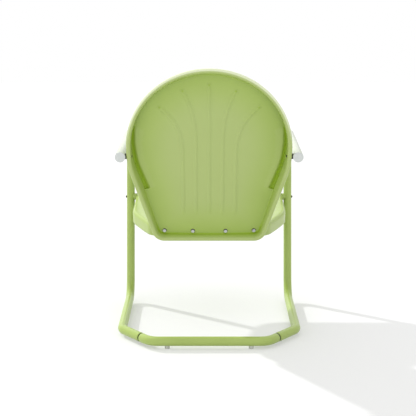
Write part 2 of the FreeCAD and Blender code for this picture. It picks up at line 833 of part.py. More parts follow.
def washer(name, place, thickness="sizes.washer_thickness"):
    blank = cylinder(f"{name}_blank", "sizes.washer_diameter / 2", thickness, place)
    bore = cylinder(f"{name}_bore", bolt_hole, f"{2 * PAST}", shifted(place, -PAST))
    return cut(name, blank, [bore])


def back_fasteners():
    """The bolt from inside each flange into a nut welded inside the arm's tube."""
    bolts = []
    nuts = []
    washers = []
    # The flange slopes across the washer, which is thicker on one side to make up for it
    slope_room = size("washer_diameter") / 2 * math.tan(math.acos(flange_facing))
    head_x = flange_x - sheet_wall / flange_facing - size("washer_thickness") - slope_room
    nut_x = arm_bolt.x - math.sqrt(tube_bore**2 - hex_corner**2) + size("upright_clearance")
    bolt_length = nut_x + size("nut_height") + size("bolt_tail") - head_x
    for side_name, side in SIDES.items():
        outward = Vector(side, 0, 0)
        seat = along(Vector(head_x * side, arm_bolt.y, arm_bolt.z), outward)
        bolts.append(pan_bolt(f"{side_name}_back_bolt", seat, bolt_length))
        nuts.append(nut(f"{side_name}_arm_nut", shifted(seat, nut_x - head_x)))
        blank = washer(f"{side_name}_back_washer_blank", seat, f"{PAST}")
        formed_washer = doc.addObject("Part::Common", f"{side_name}_back_washer")
        formed_washer.Base = blank
        formed_washer.Tool = rear_block
        washers.append(formed_washer)
    group("back_bolts", bolts)
    group("arm_weld_nuts", nuts)
    group("back_bolt_washers", washers)


def back_spacer(side_name, side):
    """A spacer whose ends follow the flange of the back and the round of the arm."""
    start = Vector((flange_x - PAST) * side, arm_bolt.y, arm_bolt.z)
    length = arm_bolt.x - flange_x + PAST
    blank = cylinder(
        f"{side_name}_back_spacer_blank",
        "sizes.back_spacer_diameter / 2",
        f"{length}",
        along(start, Vector(side, 0, 0)),
    )
    direction = mirrored(arm_direction, side)
    arm_run = (arm_end - arm_start).Length
    arm_space = cylinder(
        f"{side_name}_back_spacer_arm",
        "sizes.tube_diameter / 2 + sizes.arm_clearance + sizes.arm_wall",
        f"{arm_run + PAST}",
        along(mirrored(arm_start, side), direction),
    )
    drill = back_bolt_drill(f"{side_name}_back_spacer_drill", side)
    return cut(f"{side_name}_back_spacer", blank, [front_block, arm_space, drill])


def seat_fasteners():
    """The bolt through each upright, with its washer and nut inside the seat's skirt."""
    bolts = []
    nuts = []
    washers = []
    skirt_x = seat_half - sheet_wall
    washer_x = skirt_x - size("seat_fastener_gap")
    nut_x = washer_x - size("washer_thickness")
    head_x = side_x + tube_radius + size("upright_clearance")
    length = head_x - nut_x + size("nut_height") + size("bolt_tail")
    for side_name, side in SIDES.items():
        inward = Vector(-side, 0, 0)
        seat = along(Vector(head_x * side, seat_bolt.y, seat_bolt.z), inward)
        bolts.append(pan_bolt(f"{side_name}_seat_bolt", seat, length))
        washers.append(washer(f"{side_name}_seat_washer", shifted(seat, head_x - washer_x)))
        nuts.append(nut(f"{side_name}_seat_nut", shifted(seat, head_x - nut_x)))
    group("seat_side_bolts", bolts)
    group("seat_side_washers", washers)
    group("seat_side_nuts", nuts)


def seat_spacer(side_name, side):
    """A spacer between the seat's skirt and the upright, hollowed to the upright's round."""
    start = Vector(seat_half * side, seat_bolt.y, seat_bolt.z)
    length = side_x - seat_half
    blank = cylinder(
        f"{side_name}_seat_spacer_blank",
        "sizes.seat_spacer_diameter / 2",
        f"{length}",
        along(start, Vector(side, 0, 0)),
    )
    foot = mirrored(upright_foot, side)
    upright = cylinder(
        f"{side_name}_seat_spacer_upright",
        "sizes.tube_diameter / 2 + sizes.upright_clearance",
        f"{upright_top.z}",
        along(foot, mirrored(upright_top, side) - foot),
    )
    drill = seat_bolt_drill(f"{side_name}_seat_spacer_drill", side)
    return cut(f"{side_name}_seat_spacer", blank, [upright, drill])


def back_seat_fasteners():
    """The four bolts along the foot of the back, with washers behind and nuts inside the seat."""
    bolts = []
    nuts = []
    washers = []
    washer_depth = sheet_wall + size("washer_thickness")
    nut_depth = size("seat_back_gap") + sheet_wall + size("seat_fastener_gap")
    length = washer_depth + nut_depth + size("nut_height") + size("bolt_tail")
    for number, place in enumerate(back_seat_places(), start=1):
        head = shifted(place, -washer_depth)
        bolts.append(hex_bolt(f"back_seat_bolt_{number}", head, length))
        washers.append(washer(f"back_seat_washer_{number}", head))
        nuts.append(nut(f"back_seat_nut_{number}", shifted(place, nut_depth)))
    group("seat_back_bolts", bolts)
    group("seat_back_washers", washers)
    group("seat_back_nuts", nuts)


def joint_screws():
    """One screw up through each seam, from below."""
    screws = []
    for side_name, side in SIDES.items():
        point = joint_screw_point(side)
        place = Placement(Vector(point.x, point.y, floor_axis - tube_radius), Rotation())
        shank = cylinder(
            f"{side_name}_joint_shank", "sizes.joint_screw_diameter / 2", "sizes.joint_screw_length", place
        )
        head = cylinder(
            f"{side_name}_joint_head",
            "sizes.joint_screw_head_diameter / 2",
            "sizes.joint_screw_head_height",
            shifted(place, -size("joint_screw_head_height")),
        )
        screws.append(fuse(f"{side_name}_joint_screw", [shank, head]))
    group("base_joint_screws", screws)


# Feet: a round pad hollowed to the tube above it, with a stem through the tube's wall
def glide(name, point, direction):
    base = Placement(Vector(point.x, point.y, 0), Rotation())
    pad = cylinder(f"{name}_pad", "sizes.glide_diameter / 2", "sizes.glide_height + sizes.glide_saddle", base)
    tube_start = point - direction * PAST
    tube = cylinder(f"{name}_tube", "sizes.tube_diameter / 2", f"{2 * PAST}", along(tube_start, direction))
    stem = cylinder(
        f"{name}_stem",
        "sizes.glide_stem_diameter / 2",
        "sizes.glide_height / 2 + sizes.tube_wall + sizes.glide_stem_length",
        shifted(base, size("glide_height") / 2),
    )
    return fuse(name, [cut(f"{name}_saddle", pad, [tube]), stem])


for side_name, side in SIDES.items():
    side_tube(side_name, side)
    arm(side_name, side)
    arm_cap(side_name, side)
    back_spacer(side_name, side)
    seat_spacer(side_name, side)
rear_tube()
back_fasteners()
seat_fasteners()
back_seat_fasteners()
joint_screws()
for glide_name, (glide_point, tube_direction) in glide_places().items():
    glide(f"{glide_name}_glide", glide_point, tube_direction)

PIECES = [
    "back_shell",
    "seat_pan",
    "rear_base_tube",
    "back_bolts",
    "back_bolt_washers",
    "arm_weld_nuts",
    "seat_side_bolts",
    "seat_side_washers",
    "seat_side_nuts",
    "seat_back_bolts",
    "seat_back_washers",
    "seat_back_nuts",
    "base_joint_screws",
]
for side_name in SIDES:
    PIECES += [
        f"{side_name}_{piece}"
        for piece in (
            "side_tube",
            "arm",
            "arm_end_cap",
            "back_spacer",
            "seat_spacer",
            "rear_glide",
            "corner_glide",
            "front_glide",
        )
    ]

doc.recompute()
failed = [item.Name for item in doc.Objects if {"Invalid", "Error"} & set(item.State)]
if failed:
    raise RuntimeError(f"not built: {failed}")

shapes = {piece: doc.getObject(piece).Shape for piece in PIECES}
for piece, shape in shapes.items():
    if shape.isNull() or not shape.isValid() or not shape.Solids:
        raise RuntimeError(f"bad shape: {piece}")

os.makedirs("parts", exist_ok=True)
for piece, shape in shapes.items():
    shape.exportStep(f"parts/{doc.getObject(piece).Label}.step")
    print(f"{piece}: {len(shape.Solids)} solid(s), {shape.Volume / 1000:.2f} cm3")
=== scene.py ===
"""Looks of the stamped steel patio chair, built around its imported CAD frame.

Frame: +Z up, +Y to the rear, the sitter faces -Y and has +X at the left hand. Shapes are worked out in
millimetres and turned into metres when a mesh is made.
"""

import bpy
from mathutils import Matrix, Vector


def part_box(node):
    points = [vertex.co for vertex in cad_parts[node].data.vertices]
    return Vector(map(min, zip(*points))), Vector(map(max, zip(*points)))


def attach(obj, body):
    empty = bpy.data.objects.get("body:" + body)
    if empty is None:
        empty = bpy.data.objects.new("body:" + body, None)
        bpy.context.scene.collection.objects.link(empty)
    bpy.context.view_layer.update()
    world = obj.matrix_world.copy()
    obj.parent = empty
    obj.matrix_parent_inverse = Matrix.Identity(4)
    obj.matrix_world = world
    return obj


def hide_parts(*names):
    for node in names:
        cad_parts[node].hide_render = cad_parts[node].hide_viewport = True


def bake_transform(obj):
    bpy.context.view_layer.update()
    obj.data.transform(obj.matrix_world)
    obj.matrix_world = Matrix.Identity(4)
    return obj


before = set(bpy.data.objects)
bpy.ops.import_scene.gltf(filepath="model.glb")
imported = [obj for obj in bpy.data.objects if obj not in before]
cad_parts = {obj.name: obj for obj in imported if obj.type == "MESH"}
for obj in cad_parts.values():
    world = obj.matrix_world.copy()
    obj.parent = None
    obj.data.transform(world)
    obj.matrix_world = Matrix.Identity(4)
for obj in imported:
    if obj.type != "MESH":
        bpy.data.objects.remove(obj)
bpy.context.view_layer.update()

import math

import bmesh
import bpy
import numpy as np
from mathutils import Matrix, Vector, geometry

MM = 0.001
SIDES = {"left": 1, "right": -1}

# Driving sizes, in millimetres and degrees
OVERALL_DEPTH = 648.6
TUBE_RADIUS = 14.3
TUBE_BORE = 12.7
SPIGOT_RADIUS = 12.5
SEAT_HALF = 262
SEAT_SPACER = 8.2
BASE_CORNER_SETBACK = 115
RUNNER_TOE_IN = 10
UPRIGHT_SETBACK = 130.3
CORNER_BEND = 45
FRONT_BEND = 76
ARM_BEND = 76
BASE_BEND = 55
SEAM_INSET = 67.5
BASE_ANGLE = math.tan(math.radians(40))
UPRIGHT_LEAN = math.tan(math.radians(10))
ARM_DROP = math.tan(math.radians(5))
GLIDE_HEIGHT = 8
GLIDE_RADIUS = 7.5
REAR_GLIDE_X = 126.5
CORNER_GLIDE_SETBACK = 24
FRONT_GLIDE_SETBACK = 82
ARM_RADIUS = 15.8
ARM_BORE = 14.5
ARM_FRONT_SETBACK = 6
ARM_END_OVERHANG = 16
SHEET = 1.2
RECLINE = math.radians(18)
BACK_BOLT_SETBACK = 124.5
BACK_BOLT_Z = 569.9
BACK_BOLT_INSET = 16
BACK_RADIUS = 247
BACK_RISE = 30
BACK_SIDE_RUN = 22
BACK_TAPER = math.radians(16.7)
BACK_FOOT = 287.5
BACK_FOOT_CORNER = 37
BACK_DEPTH = 20
BACK_DRAFT = math.radians(20)
BACK_CURVE = 2232
BEAD_RADIUS = 7
BEAD_INSET = 4.1
BEAD_TOP_INSET = 5.5
BACK_SPACER = 12.2
CHANNEL_TOP = 96
CHANNEL_FOOT = -117
RIB_HEIGHT = 3.2
RIB_REACH = 8.5
RIB_FOOT = -195
RIBS = [(0, 225, 0, 225)]
for mirror in SIDES.values():
    RIBS.append((41 * mirror, 60, 78 * mirror, 206))
    RIBS.append((81 * mirror, 20, 147 * mirror, 154))
SEAT_REAR_DROP = 239.4
SEAT_SLOPE = math.radians(8.4)
SEAT_SKIRT = 45
SEAT_DISH = 16
SEAT_FRONT_CORNER = 60
SEAT_REAR_CORNER = 66
SEAT_CORNER_START = 145
SEAT_TAPER = math.radians(24.5)
SEAT_TAPER_BEND = 150
SEAT_FILLET = 11
SEAT_GAP = 0.2
SEAT_BOLT_DROP = 26.4
BACK_SEAT_BOLT_DROP = 261
BACK_SEAT_BOLT_XS = (-142, -52, 52, 142)
BOLT_RADIUS = 3
HEX_HALF = 5
WASHER_RADIUS = 6.5
WASHER = 1.2
PAN_HEAD = 3.4

# Places that follow from the sizes
floor_axis = GLIDE_HEIGHT + TUBE_RADIUS
side_x = SEAT_HALF + SEAT_SPACER + TUBE_RADIUS
rear_y = OVERALL_DEPTH / 2
crossbar_y = rear_y - TUBE_RADIUS
back_bolt_y = rear_y - BACK_BOLT_SETBACK
rim_y = back_bolt_y + BACK_BOLT_INSET * math.cos(RECLINE)
rim_origin = Vector((0, rim_y, BACK_BOLT_Z - BACK_BOLT_INSET * math.sin(RECLINE)))
back_place = Matrix.Translation(rim_origin) @ Matrix.Rotation(math.pi / 2 - RECLINE, 4, "X")
seat_place = Matrix.Translation(rim_origin) @ Matrix.Rotation(-RECLINE, 4, "X")
flange_radius = BACK_RADIUS - BACK_BOLT_INSET * math.tan(BACK_DRAFT)
hip_rise = BACK_RISE - BACK_SIDE_RUN
flange_x = math.sqrt(flange_radius**2 - hip_rise**2)
flange_facing = math.cos(BACK_DRAFT) * flange_x / flange_radius
arm_bolt = Vector((flange_x + BACK_SPACER + ARM_RADIUS, back_bolt_y, BACK_BOLT_Z))
runner_rear = Vector((side_x - RUNNER_TOE_IN, crossbar_y - BASE_CORNER_SETBACK, floor_axis))
seam = runner_rear + Vector((-1, 1 / BASE_ANGLE, 0)) * SEAM_INSET
crossbar_corner = seam + Vector((-BASE_ANGLE, 1, 0)) * (crossbar_y - seam.y)
upright_foot = Vector((side_x, UPRIGHT_SETBACK - rear_y, floor_axis))
meet_z = arm_bolt.z + ARM_DROP * (arm_bolt.y - upright_foot.y - UPRIGHT_LEAN * floor_axis)
meet_z /= 1 - ARM_DROP * UPRIGHT_LEAN
upright_top = Vector((side_x, upright_foot.y - UPRIGHT_LEAN * (meet_z - floor_axis), meet_z))
arm_direction = (arm_bolt - upright_top).normalized()
arm_end = arm_bolt + arm_direction * ARM_END_OVERHANG
arm_turn = (upright_foot - upright_top).angle(arm_direction)
arm_start = upright_top + arm_direction * (ARM_BEND / math.tan(arm_turn / 2) + ARM_FRONT_SETBACK)

# The seat's side view, in its own frame
seat_rear = -BACK_DEPTH - SEAT_GAP
seat_rise = math.tan(RECLINE - SEAT_SLOPE)


def seat_line(y):
    """Height of the seat's rim line in the seat's frame."""
    return -SEAT_REAR_DROP + seat_rise * (y - seat_rear)


front_reach = -rear_y - rim_origin.y
front_foot = math.sin(RECLINE) * (seat_line(0) - SEAT_SKIRT)
seat_front = (front_reach - front_foot) / (math.cos(RECLINE) + math.sin(RECLINE) * seat_rise)
seat_chord = Vector((seat_rear - seat_front, seat_line(seat_rear) - seat_line(seat_front)))
dish_radius = seat_chord.length_squared / (8 * SEAT_DISH) + SEAT_DISH / 2
dish_upward = Vector((-seat_chord.y, seat_chord.x)).normalized()
dish_centre = Vector((seat_front, seat_line(seat_front))) + seat_chord / 2
dish_centre += dish_upward * (dish_radius - SEAT_DISH)
skirt_level = seat_place @ Vector((0, 0, seat_line(0) - SEAT_BOLT_DROP))
skirt_ahead = seat_place.to_3x3() @ Vector((0, -1, -seat_rise))
skirt_reach = skirt_level.y - upright_foot.y + UPRIGHT_LEAN * (skirt_level.z - floor_axis)
seat_bolt = skirt_level - skirt_ahead * (skirt_reach / (skirt_ahead.y + UPRIGHT_LEAN * skirt_ahead.z))


def mirrored(point, side):
    return Vector((point.x * side, point.y, point.z))


def along(point, direction):
    """A place at a point with its Z axis along a direction."""
    return Matrix.Translation(point) @ direction.to_track_quat("Z", "Y").to_matrix().to_4x4()


# Materials, with their grain in waves per metre and its depth in metres
RAMP_PLACES = (0.35, 0.65)
DRIFT_WAVES = 9
GLOSS_WAVES = 45
GLOSS_DRIFT = 0.05
PEEL_WAVES = 420
PEEL_STRENGTH = 0.05
PEEL_DEPTH = 0.0004
MOTTLE_WAVES = 160
GRAIN_WAVES = 1800
GRAIN_STRENGTH = 0.08
GRAIN_DEPTH = 0.0002
PLATING_WAVES = 500
MARK_WAVES = 900
MARK_STRETCH = (1, 1, 6)
MARK_GLOSS = (-0.08, 0.12)


def add_node(tree, kind, inputs, operation=None):
    """A shader node, with each input linked to another node's output or set to a value."""
    node = tree.nodes.new("ShaderNode" + kind)
    if operation:
        node.operation = operation
    for name, value in inputs.items():
        if isinstance(value, bpy.types.NodeSocket):
            tree.links.new(value, node.inputs[name])
        else:
            node.inputs[name].default_value = value
    return node


def new_shader(name, roughness, metallic=0.0):
    material = bpy.data.materials.new(name)
    material.use_nodes = True
    tree = material.node_tree
    surface = tree.nodes["Principled BSDF"]
    surface.inputs["Roughness"].default_value = roughness
    surface.inputs["Metallic"].default_value = metallic
    return material, tree, surface


def add_noise(tree, waves, detail, stretch=None):
    """Noise over the piece's own coordinates."""
    place = add_node(tree, "TexCoord", {}).outputs["Object"]
    if stretch:
        place = add_node(tree, "Mapping", {"Vector": place, "Scale": stretch}).outputs["Vector"]
    return add_node(tree, "TexNoise", {"Vector": place, "Scale": waves, "Detail": detail}).outputs["Fac"]


def colour_between(tree, surface, noise, dark, light):
    """Let a surface's colour drift with a noise between two colours."""
    ramp = add_node(tree, "ValToRGB", {"Fac": noise})
    for element, place, colour in zip(ramp.color_ramp.elements, RAMP_PLACES, (dark, light)):
        element.position = place
        element.color = (*colour, 1)
    tree.links.new(ramp.outputs["Color"], surface.inputs["Base Color"])
    return ramp.outputs["Color"]


def add_bump(tree, surface, noise, strength, depth):
    bump = add_node(tree, "Bump", {"Height": noise, "Strength": strength, "Distance": depth})
    tree.links.new(bump.outputs["Normal"], surface.inputs["Normal"])


def vary_roughness(tree, surface, noise, low, high):
    span = add_node(tree, "MapRange", {"Value": noise, "To Min": low, "To Max": high})
    tree.links.new(span.outputs["Result"], surface.inputs["Roughness"])


def paint(name, dark, light, roughness, tones=None):
    """Sprayed enamel: a faint drift of tone, a fine orange peel, and painted light and shade where a point
    says so.
    """
    material, tree, surface = new_shader(name, roughness)
    colour = colour_between(tree, surface, add_noise(tree, DRIFT_WAVES, detail=3), dark, light)
    for amount, tone in (tones or {}).items():
        share = add_node(tree, "Attribute", {})
        share.attribute_name = amount
        mix = {"Fac": share.outputs["Fac"], "Color1": colour, "Color2": (*tone, 1)}
        colour = add_node(tree, "MixRGB", mix).outputs["Color"]
        tree.links.new(colour, surface.inputs["Base Color"])
    gloss = add_noise(tree, GLOSS_WAVES, detail=4)
    vary_roughness(tree, surface, gloss, roughness - GLOSS_DRIFT, roughness + GLOSS_DRIFT)
    add_bump(tree, surface, add_noise(tree, PEEL_WAVES, detail=2), PEEL_STRENGTH, PEEL_DEPTH)
    return material


def plastic(name, dark, light, roughness):
    """Moulded plastic or rubber with a faint grain."""
    material, tree, surface = new_shader(name, roughness)
    colour_between(tree, surface, add_noise(tree, MOTTLE_WAVES, detail=4), dark, light)
    add_bump(tree, surface, add_noise(tree, GRAIN_WAVES, detail=2), GRAIN_STRENGTH, GRAIN_DEPTH)
    return material


def metal(name, dark, light, roughness, metallic):
    """Plated or blackened steel with fine turning marks."""
    material, tree, surface = new_shader(name, roughness, metallic)
    colour_between(tree, surface, add_noise(tree, PLATING_WAVES, detail=4), dark, light)
    marks = add_noise(tree, MARK_WAVES, detail=3, stretch=MARK_STRETCH)
    vary_roughness(tree, surface, marks, *(roughness + change for change in MARK_GLOSS))
    return material


# Other tones of the green, all painted light and shade: a painted sheen on broad faces, painted shade in
# recesses, creases and gaps, and a painted highlight on a top edge
GREEN_TONES = {
    "painted_sheen": (0.395, 0.488, 0.162),
    "painted_shade": (0.26, 0.40, 0.012),
    "painted_highlight": (0.72, 0.78, 0.52),
    "gap": (0.04, 0.055, 0.01),
}
green_paint = paint("green_paint", (0.352, 0.458, 0.11), (0.372, 0.48, 0.122), 0.32, GREEN_TONES)
# The arms' white paint; its green cast is a painted reflection of light from the green paint
white_paint = paint("white_paint", (0.52, 0.56, 0.45), (0.55, 0.59, 0.48), 0.3)
pale_plastic = plastic("pale_plastic", (0.585, 0.615, 0.595), (0.625, 0.655, 0.635), 0.42)
glide_plastic = plastic("glide_plastic", (0.52, 0.53, 0.47), (0.60, 0.61, 0.56), 0.45)
black_rubber = plastic("black_rubber", (0.012, 0.012, 0.011), (0.022, 0.022, 0.020), 0.6)
dark_steel = metal("dark_steel", (0.015, 0.015, 0.016), (0.03, 0.03, 0.032), 0.4, 0.5)
zinc = metal("zinc", (0.46, 0.47, 0.48), (0.60, 0.61, 0.62), 0.26, 1.0)
# Dark zinc for the washers at the foot: painted shade round the bolt heads
zinc_with_painted_shade = metal("zinc_with_painted_shade", (0.06, 0.06, 0.055), (0.10, 0.10, 0.09), 0.5, 0.6)


# Meshes
SHARP_EDGE = math.radians(38)
ROUND_STEPS = 48
TUBE_STEPS = 56


def add_object(name, data):
    added = bpy.data.objects.new(name, data)
    bpy.context.scene.collection.objects.link(added)
    return added


def new_piece(name, points, faces, place, material):
    """A smooth piece from points in millimetres in its own frame, with its steep edges kept crisp."""
    mesh = bpy.data.meshes.new(name)
    work = bmesh.new()
    corners = [work.verts.new((place @ Vector(point)) * MM) for point in points]
    for face in faces:
        work.faces.new([corners[index] for index in face])
    bmesh.ops.recalc_face_normals(work, faces=work.faces)
    work.to_mesh(mesh)
    work.free()
    mesh.shade_smooth()
    mesh.set_sharp_from_angle(angle=SHARP_EDGE)
    mesh.materials.append(material)
    return add_object(name, mesh)


def set_tone(piece, tone, amounts):
    """Say how much of one of the paint's tones each of a piece's points has, from 0 to 1."""
    attribute = piece.data.attributes.new(tone, "FLOAT", "POINT")
    attribute.data.foreach_set("value", np.asarray(amounts, np.float32))


def ring_faces(first, second, count):
    """Quads between two rings of points, given the index at which each ring starts."""
    faces = []
    for index in range(count):
        after = (index + 1) % count
        faces.append((first + index, first + after, second + after, second + index))
    return faces


def band(rings):
    """Points of a list of rings, and the faces between each ring and the next."""
    count = len(rings[0])
    faces = []
    for index in range(len(rings) - 1):
        faces += ring_faces(index * count, (index + 1) * count, count)
    return [tuple(point) for ring in rings for point in ring], faces


def loft(rings, closed=False):
    """Points and faces through a list of rings; its ends are joined to each other or capped."""
    points, faces = band(rings)
    count = len(rings[0])
    last = len(points) - count
    if closed:
        faces += ring_faces(last, 0, count)
    else:
        faces += [tuple(range(count)), tuple(range(last, last + count))]
    return points, faces


def merged(parts):
    """Several sets of points and faces as one."""
    points = []
    faces = []
    for part_points, part_faces in parts:
        start = len(points)
        points += part_points
        faces += [tuple(start + index for index in face) for face in part_faces]
    return points, faces


def ring_turns(count):
    return [2 * math.pi * index / count for index in range(count)]


def circle_ring(radius, height):
    return [(radius * math.cos(turn), radius * math.sin(turn), height) for turn in ring_turns(ROUND_STEPS)]


def hex_ring(half, height, limit=math.inf, slope=0.0):
    """A hexagonal ring by half its width over flats; corners past a limit are cut, or shifted by a slope."""
    ring = []
    for turn in ring_turns(ROUND_STEPS):
        reach = half / math.cos(turn % (math.pi / 3) - math.pi / 6)
        past = max(reach - limit, 0)
        kept = reach if slope else reach - past
        ring.append((kept * math.cos(turn), kept * math.sin(turn), height - past * slope))
    return ring


def turned(profile, closed=False):
    """A turned shape from (radius, height) pairs."""
    return loft([circle_ring(radius, height) for radius, height in profile], closed)


# Bent tubes
def bent_line(corners, radii, run_step=14, turn_step=math.radians(4)):
    """Points along straight runs joined by tangent arcs."""
    line = [corners[0]]

    def run_to(end):
        start = line[-1]
        steps = max(1, math.ceil((end - start).length / run_step))
        line.extend(start.lerp(end, index / steps) for index in range(1, steps + 1))

    for before, corner, after, radius in zip(corners, corners[1:], corners[2:], radii):
        back = (before - corner).normalized()
        ahead = (after - corner).normalized()
        turn = math.pi - back.angle(ahead)
        run_to(corner + back * (radius * math.tan(turn / 2)))
        inward = (back + ahead).normalized()
        centre = corner + inward * (radius / math.cos(turn / 2))
        arm_from = line[-1] - centre
        axis = (-back).cross(ahead).normalized()
        steps = math.ceil(turn / turn_step)
        for index in range(1, steps + 1):
            line.append(centre + Matrix.Rotation(turn * index / steps, 3, axis) @ arm_from)
    run_to(corners[-1])
    return line


def tube_rings(line):
    """Rings of the frame tube square to a line, turned as little as possible from one to the next."""
    beyond = [line[0], *line, line[-1]]
    tangents = [(after - before).normalized() for before, after in zip(beyond, beyond[2:])]
    across = tangents[0].orthogonal().normalized()
    rings = []
    for point, tangent in zip(line, tangents):
        across = (across - tangent * across.dot(tangent)).normalized()
        other = tangent.cross(across)
        spokes = [across * math.cos(turn) + other * math.sin(turn) for turn in ring_turns(TUBE_STEPS)]
        rings.append([point + spoke * TUBE_RADIUS for spoke in spokes])
    return rings


# Rings at a seam, as (distance into the tube, radius): an open end, and an end with a spigot in it
SEAM_GAP = 3
SEAM_DEPTH = 12
SPIGOT_REACH = 14
SEAM_EDGE = [(SEAM_GAP, TUBE_RADIUS - 0.8), (SEAM_GAP + 0.5, TUBE_RADIUS - 0.2)]
SEAM_EDGE.append((SEAM_GAP + 1.4, TUBE_RADIUS))
SEAM_BORE = [(SEAM_DEPTH, TUBE_BORE), (SEAM_GAP, TUBE_BORE)]
SPIGOT = [(-SPIGOT_REACH, SPIGOT_RADIUS - 0.5), (1 - SPIGOT_REACH, SPIGOT_RADIUS)]
SPIGOT.append((SEAM_GAP, SPIGOT_RADIUS))


def seam_rings(ring, inward, steps):
    """The ring at a tube's end again, shifted along the tube and scaled for each step but the last."""
    middle = sum(ring, Vector()) / len(ring)
    rings = []
    for depth, radius in steps[:-1]:
        at = middle + inward * (depth - steps[-1][0])
        rings.append([at + (point - middle) * (radius / TUBE_RADIUS) for point in ring])
    return rings


def open_seam(line, end, inner):
    """Shorten a line at one end by the seam's edge, and say which way the line goes from there."""
    inward = (line[inner] - line[end]).normalized()
    line[end] = line[end] + inward * SEAM_EDGE[-1][0]
    return inward


def side_tube(name, side):
    """A bent frame tube in one piece: runner, upright and arm run."""
    corners = [mirrored(point, side) for point in (seam, runner_rear, upright_foot, upright_top, arm_end)]
    line = bent_line(corners, [CORNER_BEND, FRONT_BEND, ARM_BEND])
    inward = open_seam(line, 0, 1)
    rings = tube_rings(line)
    lip = seam_rings(rings[0], inward, SEAM_BORE + SEAM_EDGE)
    return new_piece(name, *loft(lip + rings), Matrix(), green_paint)


def rear_tube(name):
    """The tube along the floor behind, with a spigot at each end that is darkened by painted shade."""
    corners = [mirrored(seam, -1), mirrored(crossbar_corner, -1), crossbar_corner, seam]
    line = bent_line(corners, [BASE_BEND] * 2)
    inward = open_seam(line, 0, 1), open_seam(line, -1, -2)
    rings = tube_rings(line)
    first = seam_rings(rings[0], inward[0], SPIGOT + SEAM_EDGE)
    last = seam_rings(rings[-1], inward[1], SPIGOT + SEAM_EDGE)
    rings = first + rings + last[::-1]
    tube = new_piece(name, *loft(rings), Matrix(), green_paint)
    # Painted shade on the spigots, which lie in the seam's gap
    dark = np.zeros((len(rings), len(rings[0])))
    dark[: len(SPIGOT)] = 1
    dark[-len(SPIGOT) :] = 1
    set_tone(tube, "gap", dark.ravel())
    return tube


# Pressed sheets: an outline, rings round its rim and a skin on each side
INSIDE_ONLY = 1
SAME_POINT = 1e-5
BATCH = 200


def with_mirror(side):
    """Arcs down one side of an outline, and their mirror images up the other side."""
    images = []
    for (x, y), radius, first, last in side[::-1]:
        images.append(((-x, y), radius, 3 * math.pi - last, 3 * math.pi - first))
    return side + images


def directions(turns):
    return np.column_stack((np.cos(turns), np.sin(turns)))


def rounded_outline(arcs, step, finer=None):
    """Points and outward directions round a closed outline of arcs joined by straight runs.

    The steep runs also get points between two heights, at a finer step: (from, to, step).
    """
    points = []
    outward = []
    ends = []
    for centre, radius, first, last in arcs:
        steps = max(2, math.ceil(abs(last - first) * radius / step))
        turns = np.linspace(first, last, steps + 1)
        facing = directions(turns)
        ends.append((np.array(centre) + facing * radius, facing))
    for (arc, facing), (following, _) in zip(ends, ends[1:] + ends[:1]):
        points.append(arc)
        outward.append(facing)
        run = following[0] - arc[-1]
        length = np.linalg.norm(run)
        shares = np.linspace(0, 1, max(1, math.ceil(length / step)) + 1)[1:-1]
        if finer and length > step and abs(run[1]) > length / 2:
            extra = (np.arange(*finer) - arc[-1][1]) / run[1]
            shares = np.unique(np.concatenate((shares, extra[(extra > 0) & (extra < 1)])))
        points.append(arc[-1] + np.outer(shares, run))
        outward.append(np.repeat(facing[-1:], len(shares), axis=0))
    return np.concatenate(points), np.concatenate(outward)


def rim_rings(points, outward, sections):
    """Rings round a rim, from the (inset, height) pairs of the section at each of its points."""
    across = points[:, None, :] - outward[:, None, :] * sections[:, :, :1]
    return np.concatenate((across, sections[:, :, 1:]), axis=2).transpose(1, 0, 2)


def fill_skin(ring, inside, depth):
    """Triangles between a ring of points and loose points inside it, as (points, faces) after the ring."""
    count = len(ring)
    flat = [Vector(point) for point in ring] + [Vector(point) for point in inside]
    found = geometry.delaunay_2d_cdt(flat, [], [list(range(count))], INSIDE_ONLY, SAME_POINT)
    places, _, faces, sources = found[:4]
    index_of = {}
    added = []
    for index, (place, source) in enumerate(zip(places, sources)):
        if source and min(source) < count:
            index_of[index] = min(source)
        else:
            index_of[index] = count + len(added)
            added.append((place.x, place.y, depth(place.x, place.y)))
    return added, [tuple(index_of[index] for index in face) for face in faces]


def sheet_piece(name, rings, inside, skins, place, material):
    """A closed sheet: rings round its rim from one skin's edge to the other's, and both skins."""
    points, faces = band(rings)
    count = rings.shape[1]
    for edge, depth in zip((0, len(rings) - 1), skins):
        start = edge * count
        added, triangles = fill_skin(rings[edge][:, :2], inside, depth)
        shift = len(points) - count
        points += added
        for face in triangles:
            faces.append(tuple(start + index if index < count else shift + index for index in face))
    return new_piece(name, points, faces, place, material)


def hex_grid(low, high, step):
    """Points of equal spacing between two corners, with every second row shifted."""
    rows = np.arange(low[1], high[1], step * math.sqrt(0.75))
    grid = []
    for number, y in enumerate(rows):
        xs = np.arange(low[0], high[0], step) + (number % 2) * step / 2
        grid.append(np.column_stack((xs, np.full(len(xs), y))))
    return np.concatenate(grid)


def nearest(points, others):
    """Distance from each point to the nearest of the others."""
    best = np.full(len(points), np.inf)
    for start in range(0, len(others), BATCH):
        gaps = points[:, None, :] - others[None, start : start + BATCH, :]
        best = np.minimum(best, np.sqrt((gaps**2).sum(axis=2)).min(axis=1))
    return best


def within(points, ring):
    """Which points lie inside a closed ring."""
    xs, ys = points.T
    inside = np.zeros(len(points), bool)
    for (x, y), (next_x, next_y) in zip(ring, np.roll(ring, -1, axis=0)):
        if next_y != y:
            reach = x + (ys - y) * (next_x - x) / (next_y - y)
            inside ^= ((y > ys) != (next_y > ys)) & (xs < reach)
    return inside


def kept_inside(points, edge, gap):
    """Those of the points that lie inside an edge and keep a gap from it."""
    return points[within(points, edge) & (nearest(points, edge) > gap)]


# Back
def panel_z(x, behind=0):
    """Height of the back's front skin in the back's frame, or of a skin that lies behind it."""
    return BACK_DEPTH + BACK_CURVE - np.sqrt((BACK_CURVE + behind) ** 2 - x**2)


def smooth_step(value, low, high):
    """0 below a range, 1 above it, and a smooth rise between."""
    share = np.clip((value - low) / (high - low), 0, 1)
    return share * share * (3 - 2 * share)


